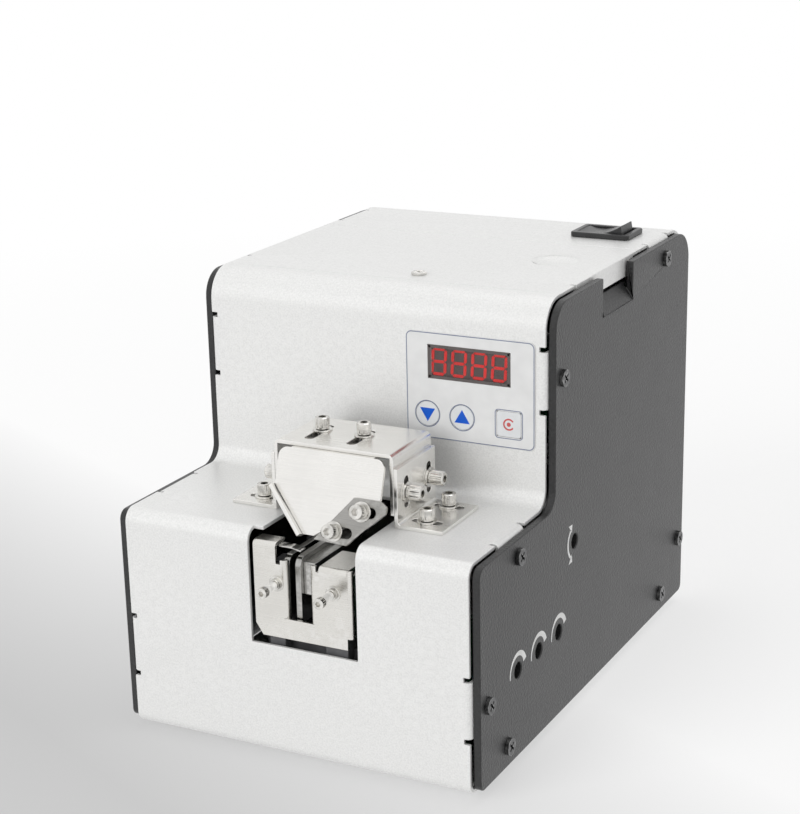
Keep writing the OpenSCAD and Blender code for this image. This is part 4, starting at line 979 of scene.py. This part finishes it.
class Mechanism:
    """The hood over the rails, its shield and guide, the rails and the front plate."""

    PARTS = (("left_bracket", STAINLESS, 0.15), ("right_bracket", STAINLESS, 0.15), ("hood", STAINLESS, 0.15),
             ("shield_plate", STAINLESS, 0.12), ("guide_plate", GUIDE, 0.2), ("front_plate", FRONT_STEEL_PAINTED_SHADE, 0.12),
             ("rail_base", INNER_GREY_AND_SHADE, 0.2), ("rubber_mounts", RUBBER, 0.2), ("left_rail", RAIL, 0.1),
             ("right_rail", RAIL, 0.1), ("rail_bar", RAIL, 0.2), ("rail_clamp_screws", PLATED, 0.1),
             ("retaining_leaf", RAIL, 0.0), ("lock_gate_block", ALUMINIUM, 0.2), ("lock_gate_shaft", DARK_STEEL, 0.15))
    STUD_WASHER = ((1.2, 0.0), (2.35, 0.0), (2.4, 0.08), (2.4, 0.42), (2.3, 0.5), (1.2, 0.5))
    STUD_NUT = ((1.1, 0.5), (1.65, 0.5), (1.75, 0.62), (1.75, 1.55), (1.65, 1.7), (1.1, 1.7))

    def __init__(self, shop: Shop, sizes: MechanismSizes, screw: CapScrew) -> None:
        """Keeps its tools.

        Args:
            shop: the shop.
            sizes: the sizes.
            screw: the maker of cap screws.
        """
        self.shop = shop
        self.sizes = sizes
        self.screw = screw

    def build(self) -> None:
        """Finishes the mechanism."""
        for node, finish, edge in self.PARTS:
            self.shop.dress(node, finish, edge)
        self.hood_screws()
        self.shield_screws()
        self.front_screws()

    def hood_screws(self) -> None:
        """Makes the screws through the hood's sides and those through the brackets' feet."""
        s = self.sizes
        side, feet = [], []
        reach = s.hood_half + s.sheet + 2 * s.play
        for y in s.screw_ys:
            for turn, axis in ((1, "+X"), (-1, "-X")):
                place = facing(axis, (s.hood_mid + turn * reach, y, s.side_z))
                side += self.screw.parts(*s.side_screw, place)
                foot = (s.hood_mid + turn * (s.hood_half + s.foot_reach), y, s.shelf_z + s.sheet + s.play)
                feet += self.screw.parts(*s.foot_screw, facing("+Z", foot))
        self.shop.make("hood_side_cap_screws", side, PLATED, "hood", ("hood_side_screws",))
        self.shop.make("bracket_foot_cap_screws", feet, PLATED, "cabinet", ("bracket_foot_screws",))

    def shield_screws(self) -> None:
        """Makes the screws of the shield's lip and those that hold the guide to the shield."""
        s = self.sizes
        top = []
        for x in s.top_xs:
            top += self.screw.parts(*s.top_screw, facing("+Z", (x, s.top_y, s.top_z + s.play)))
        self.shop.make("shield_cap_screws", top, PLATED, "shield", ("shield_top_screws",))
        plane = (Matrix.Translation((0, s.shield_y, s.shield_z))
                 @ Matrix.Rotation(math.radians(90 - s.shield_tilt), 4, "X") @ Matrix.Diagonal((1, -1, 1, 1)))
        held = []
        for x, down in s.guide_screws:
            seat = Matrix.Translation((x, down, s.sheet + 2 * s.play))
            held += self.screw.parts(*s.guide_screw, plane @ seat)
        self.shop.make("guide_cap_screws", held, PLATED, "shield", ("guide_screws",))

    def front_screws(self) -> None:
        """Makes the two long screws that stand out of the front plate."""
        s = self.sizes
        washers = self.screw.sizes.washer_t + self.screw.sizes.spring_t
        parts = []
        for x in s.stud_xs:
            place = facing("-Y", (x, 0.0, s.stud_z))
            plain = lathe(self.STUD_WASHER, 36)
            nut = lathe(self.STUD_NUT, 36)
            head = self.screw.head(*s.stud_head)
            shank = self.screw.thread(s.stud_length - washers, s.stud_d)
            at = place @ Matrix.Translation((0, 0, s.stud_reach - s.stud_head[0]))
            parts += [(plain, place), (nut, place), (head, at), (shank, at)]
        self.shop.make("front_cap_screws", parts, PLATED, "cabinet", ("front_plate_screws",))


class Inside:
    """What the open lid and the openings show."""

    PARTS = (("screw_chamber", ALUMINIUM, 0.15), ("drop_chute", ALUMINIUM, 0.15), ("lifting_drum", INNER_GREY_AND_SHADE, 0.15),
             ("drum_pulley", INNER_GREY_AND_SHADE, 0.15), ("gear_motor", ALUMINIUM, 0.2), ("motor_bracket", STAINLESS, 0.15),
             ("brush_shaft", RAIL, 0.1), ("roller_brush", BRISTLE, 0.0), ("drive_belt", BELT, 0.0),
             ("screw_sensors", INNER_GREY_AND_SHADE, 0.2), ("vibrator_motor", ALUMINIUM, 0.2), ("eccentric_weight", BRASS, 0.15))

    def __init__(self, shop: Shop) -> None:
        """Keeps the shop.

        Args:
            shop: the shop.
        """
        self.shop = shop

    def build(self) -> None:
        """Finishes the inner parts."""
        for node, finish, edge in self.PARTS:
            self.shop.dress(node, finish, edge)


# ---------------------------------------------------------------- studio

@dataclass(frozen=True)
class StudioSizes:
    """The camera and the lamps, in metres, degrees and watts, in the shared frame."""

    eye: tuple = (0.2767, -0.54386, 0.27671)
    azimuth: float = -28.445
    elevation: float = 17.824
    roll: float = -1.539
    lens: float = 87.08
    shift: tuple = (0.0375, 0.04125)
    sensor: float = 36.0
    clip: tuple = (0.01, 50.0)
    aim: tuple = (0, 0, 0.06)
    floor_r: float = 12.0
    # The floor's tone is painted shade, darker towards the front left.
    floor_shade_tone: tuple = (140.0, 300.0, 247.0)
    floor_darkest_shade: float = 0.805
    floor_fade: tuple = (0.12, 0.75)
    floor_shown: float = 0.6
    floor_mirrored: float = 0.95
    world: float = 0.6
    lamps: tuple = (("key", (-0.45, -1.25, 0.6), 0.9, 9.0, False),
                    ("top", (0.2, 0.35, 1.25), 1.0, 2.8, True))


class Studio:
    """A pale floor under plain soft light, and the camera."""

    def __init__(self, sizes: StudioSizes) -> None:
        """Keeps the sizes.

        Args:
            sizes: the sizes.
        """
        self.sizes = sizes

    def build(self) -> None:
        """Makes the floor, the world, the lamps and the camera."""
        self.floor()
        self.sky()
        self.light()
        self.camera()
        bpy.context.scene.view_settings.view_transform = "Standard"

    def floor(self) -> None:
        """Lays a disc that keeps the object's shadow and fades to white behind it. Its colour is painted shade, darker
        towards the front left and lighter towards the back right.
        """
        s = self.sizes
        bm = bmesh.new()
        bmesh.ops.create_circle(bm, cap_ends=True, segments=96, radius=s.floor_r)
        mesh = bpy.data.meshes.new("studio_floor")
        bm.to_mesh(mesh)
        bm.free()
        disc = bpy.data.objects.new("studio_floor", mesh)
        bpy.context.scene.collection.objects.link(disc)
        material = bpy.data.materials.new("studio_floor")
        material.use_nodes = True
        graph = Graph(material.node_tree)
        place = graph.out(graph.add("TexCoord"), "Object")
        axes = graph.add("SeparateXYZ", None, {0: place})
        x, y = graph.out(axes, 0), graph.out(axes, 1)
        across, back, middle = s.floor_shade_tone
        # Painted shade on the floor: darker towards the front left, lighter towards the back right.
        shade_tone = ((x * across + y * back + middle) / 255.0).between(s.floor_darkest_shade, 1.0) ** 2.2
        away = ((x * x + y * y) ** 0.5).step(*s.floor_fade)
        rays = graph.add("LightPath")
        camera = graph.out(rays, "Is Camera Ray")
        mirror = graph.out(rays, "Is Glossy Ray") + graph.out(rays, "Is Transmission Ray")
        matt = graph.add("BsdfDiffuse", None, {"Color": shade_tone, "Roughness": 0.5})
        pale = graph.add("Emission", None, {"Color": (shade_tone * camera + mirror * s.floor_mirrored).between(0.0, 1.0)})
        share = (camera * (away * (1.0 - s.floor_shown) + s.floor_shown) + mirror).between(0.0, 1.0)
        both = graph.add("MixShader", None, {0: share, 1: graph.out(matt), 2: graph.out(pale)})
        graph.add("OutputMaterial", None, {"Surface": graph.out(both)})
        mesh.materials.append(material)

    def sky(self) -> None:
        """Surrounds the object with even light, white where it is seen or mirrored."""
        world = bpy.data.worlds.new("studio")
        world.use_nodes = True
        bpy.context.scene.world = world
        graph = Graph(world.node_tree)
        rays = graph.add("LightPath")
        seen = graph.out(rays, "Is Camera Ray") + graph.out(rays, "Is Glossy Ray")
        seen = (seen + graph.out(rays, "Is Transmission Ray")).between(0.0, 1.0)
        level = self.sizes.world
        glow = graph.add("Background", None, {"Color": (1, 1, 1, 1), "Strength": seen * (1.0 - level) + level})
        graph.add("OutputWorld", None, {"Surface": graph.out(glow)})

    def light(self) -> None:
        """Hangs the soft lamps."""
        for name, place, size, power, mirrored in self.sizes.lamps:
            lamp = bpy.data.lights.new(name, "AREA")
            lamp.size = size
            lamp.energy = power
            holder = bpy.data.objects.new(name, lamp)
            holder.location = place
            holder.visible_glossy = mirrored
            ahead = Vector(self.sizes.aim) - Vector(place)
            holder.rotation_euler = ahead.to_track_quat("-Z", "Y").to_euler()
            bpy.context.scene.collection.objects.link(holder)

    def camera(self) -> None:
        """Sets the camera at the viewing angle."""
        s = self.sizes
        turn, tip, roll = (math.radians(a) for a in (s.azimuth, s.elevation, s.roll))
        ahead = Vector((math.sin(turn) * math.cos(tip), math.cos(turn) * math.cos(tip), -math.sin(tip)))
        level = Vector((math.cos(turn), -math.sin(turn), 0.0))
        up = level.cross(ahead)
        right = level * math.cos(roll) + up * math.sin(roll)
        above = up * math.cos(roll) - level * math.sin(roll)
        data = bpy.data.cameras.new("camera")
        data.sensor_fit = "HORIZONTAL"
        data.sensor_width = s.sensor
        data.lens = s.lens
        data.shift_x, data.shift_y = s.shift
        data.clip_start, data.clip_end = s.clip
        eye = bpy.data.objects.new("camera", data)
        spin = Matrix((right, above, -ahead)).transposed().to_4x4()
        eye.matrix_world = Matrix.Translation(s.eye) @ spin
        bpy.context.scene.collection.objects.link(eye)
        bpy.context.scene.camera = eye


def main() -> None:
    """Builds the scene round the loaded frame."""
    logging.basicConfig(level=logging.INFO, format="%(name)s: %(message)s")
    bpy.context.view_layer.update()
    shop = Shop(frame)
    Studio(StudioSizes()).build()
    Cabinet(shop, CabinetSizes()).build()
    ControlPanel(shop, PanelSizes()).build()
    Mechanism(shop, MechanismSizes(), CapScrew(ScrewSizes())).build()
    Inside(shop).build()


if __name__ == "__main__":
    main()
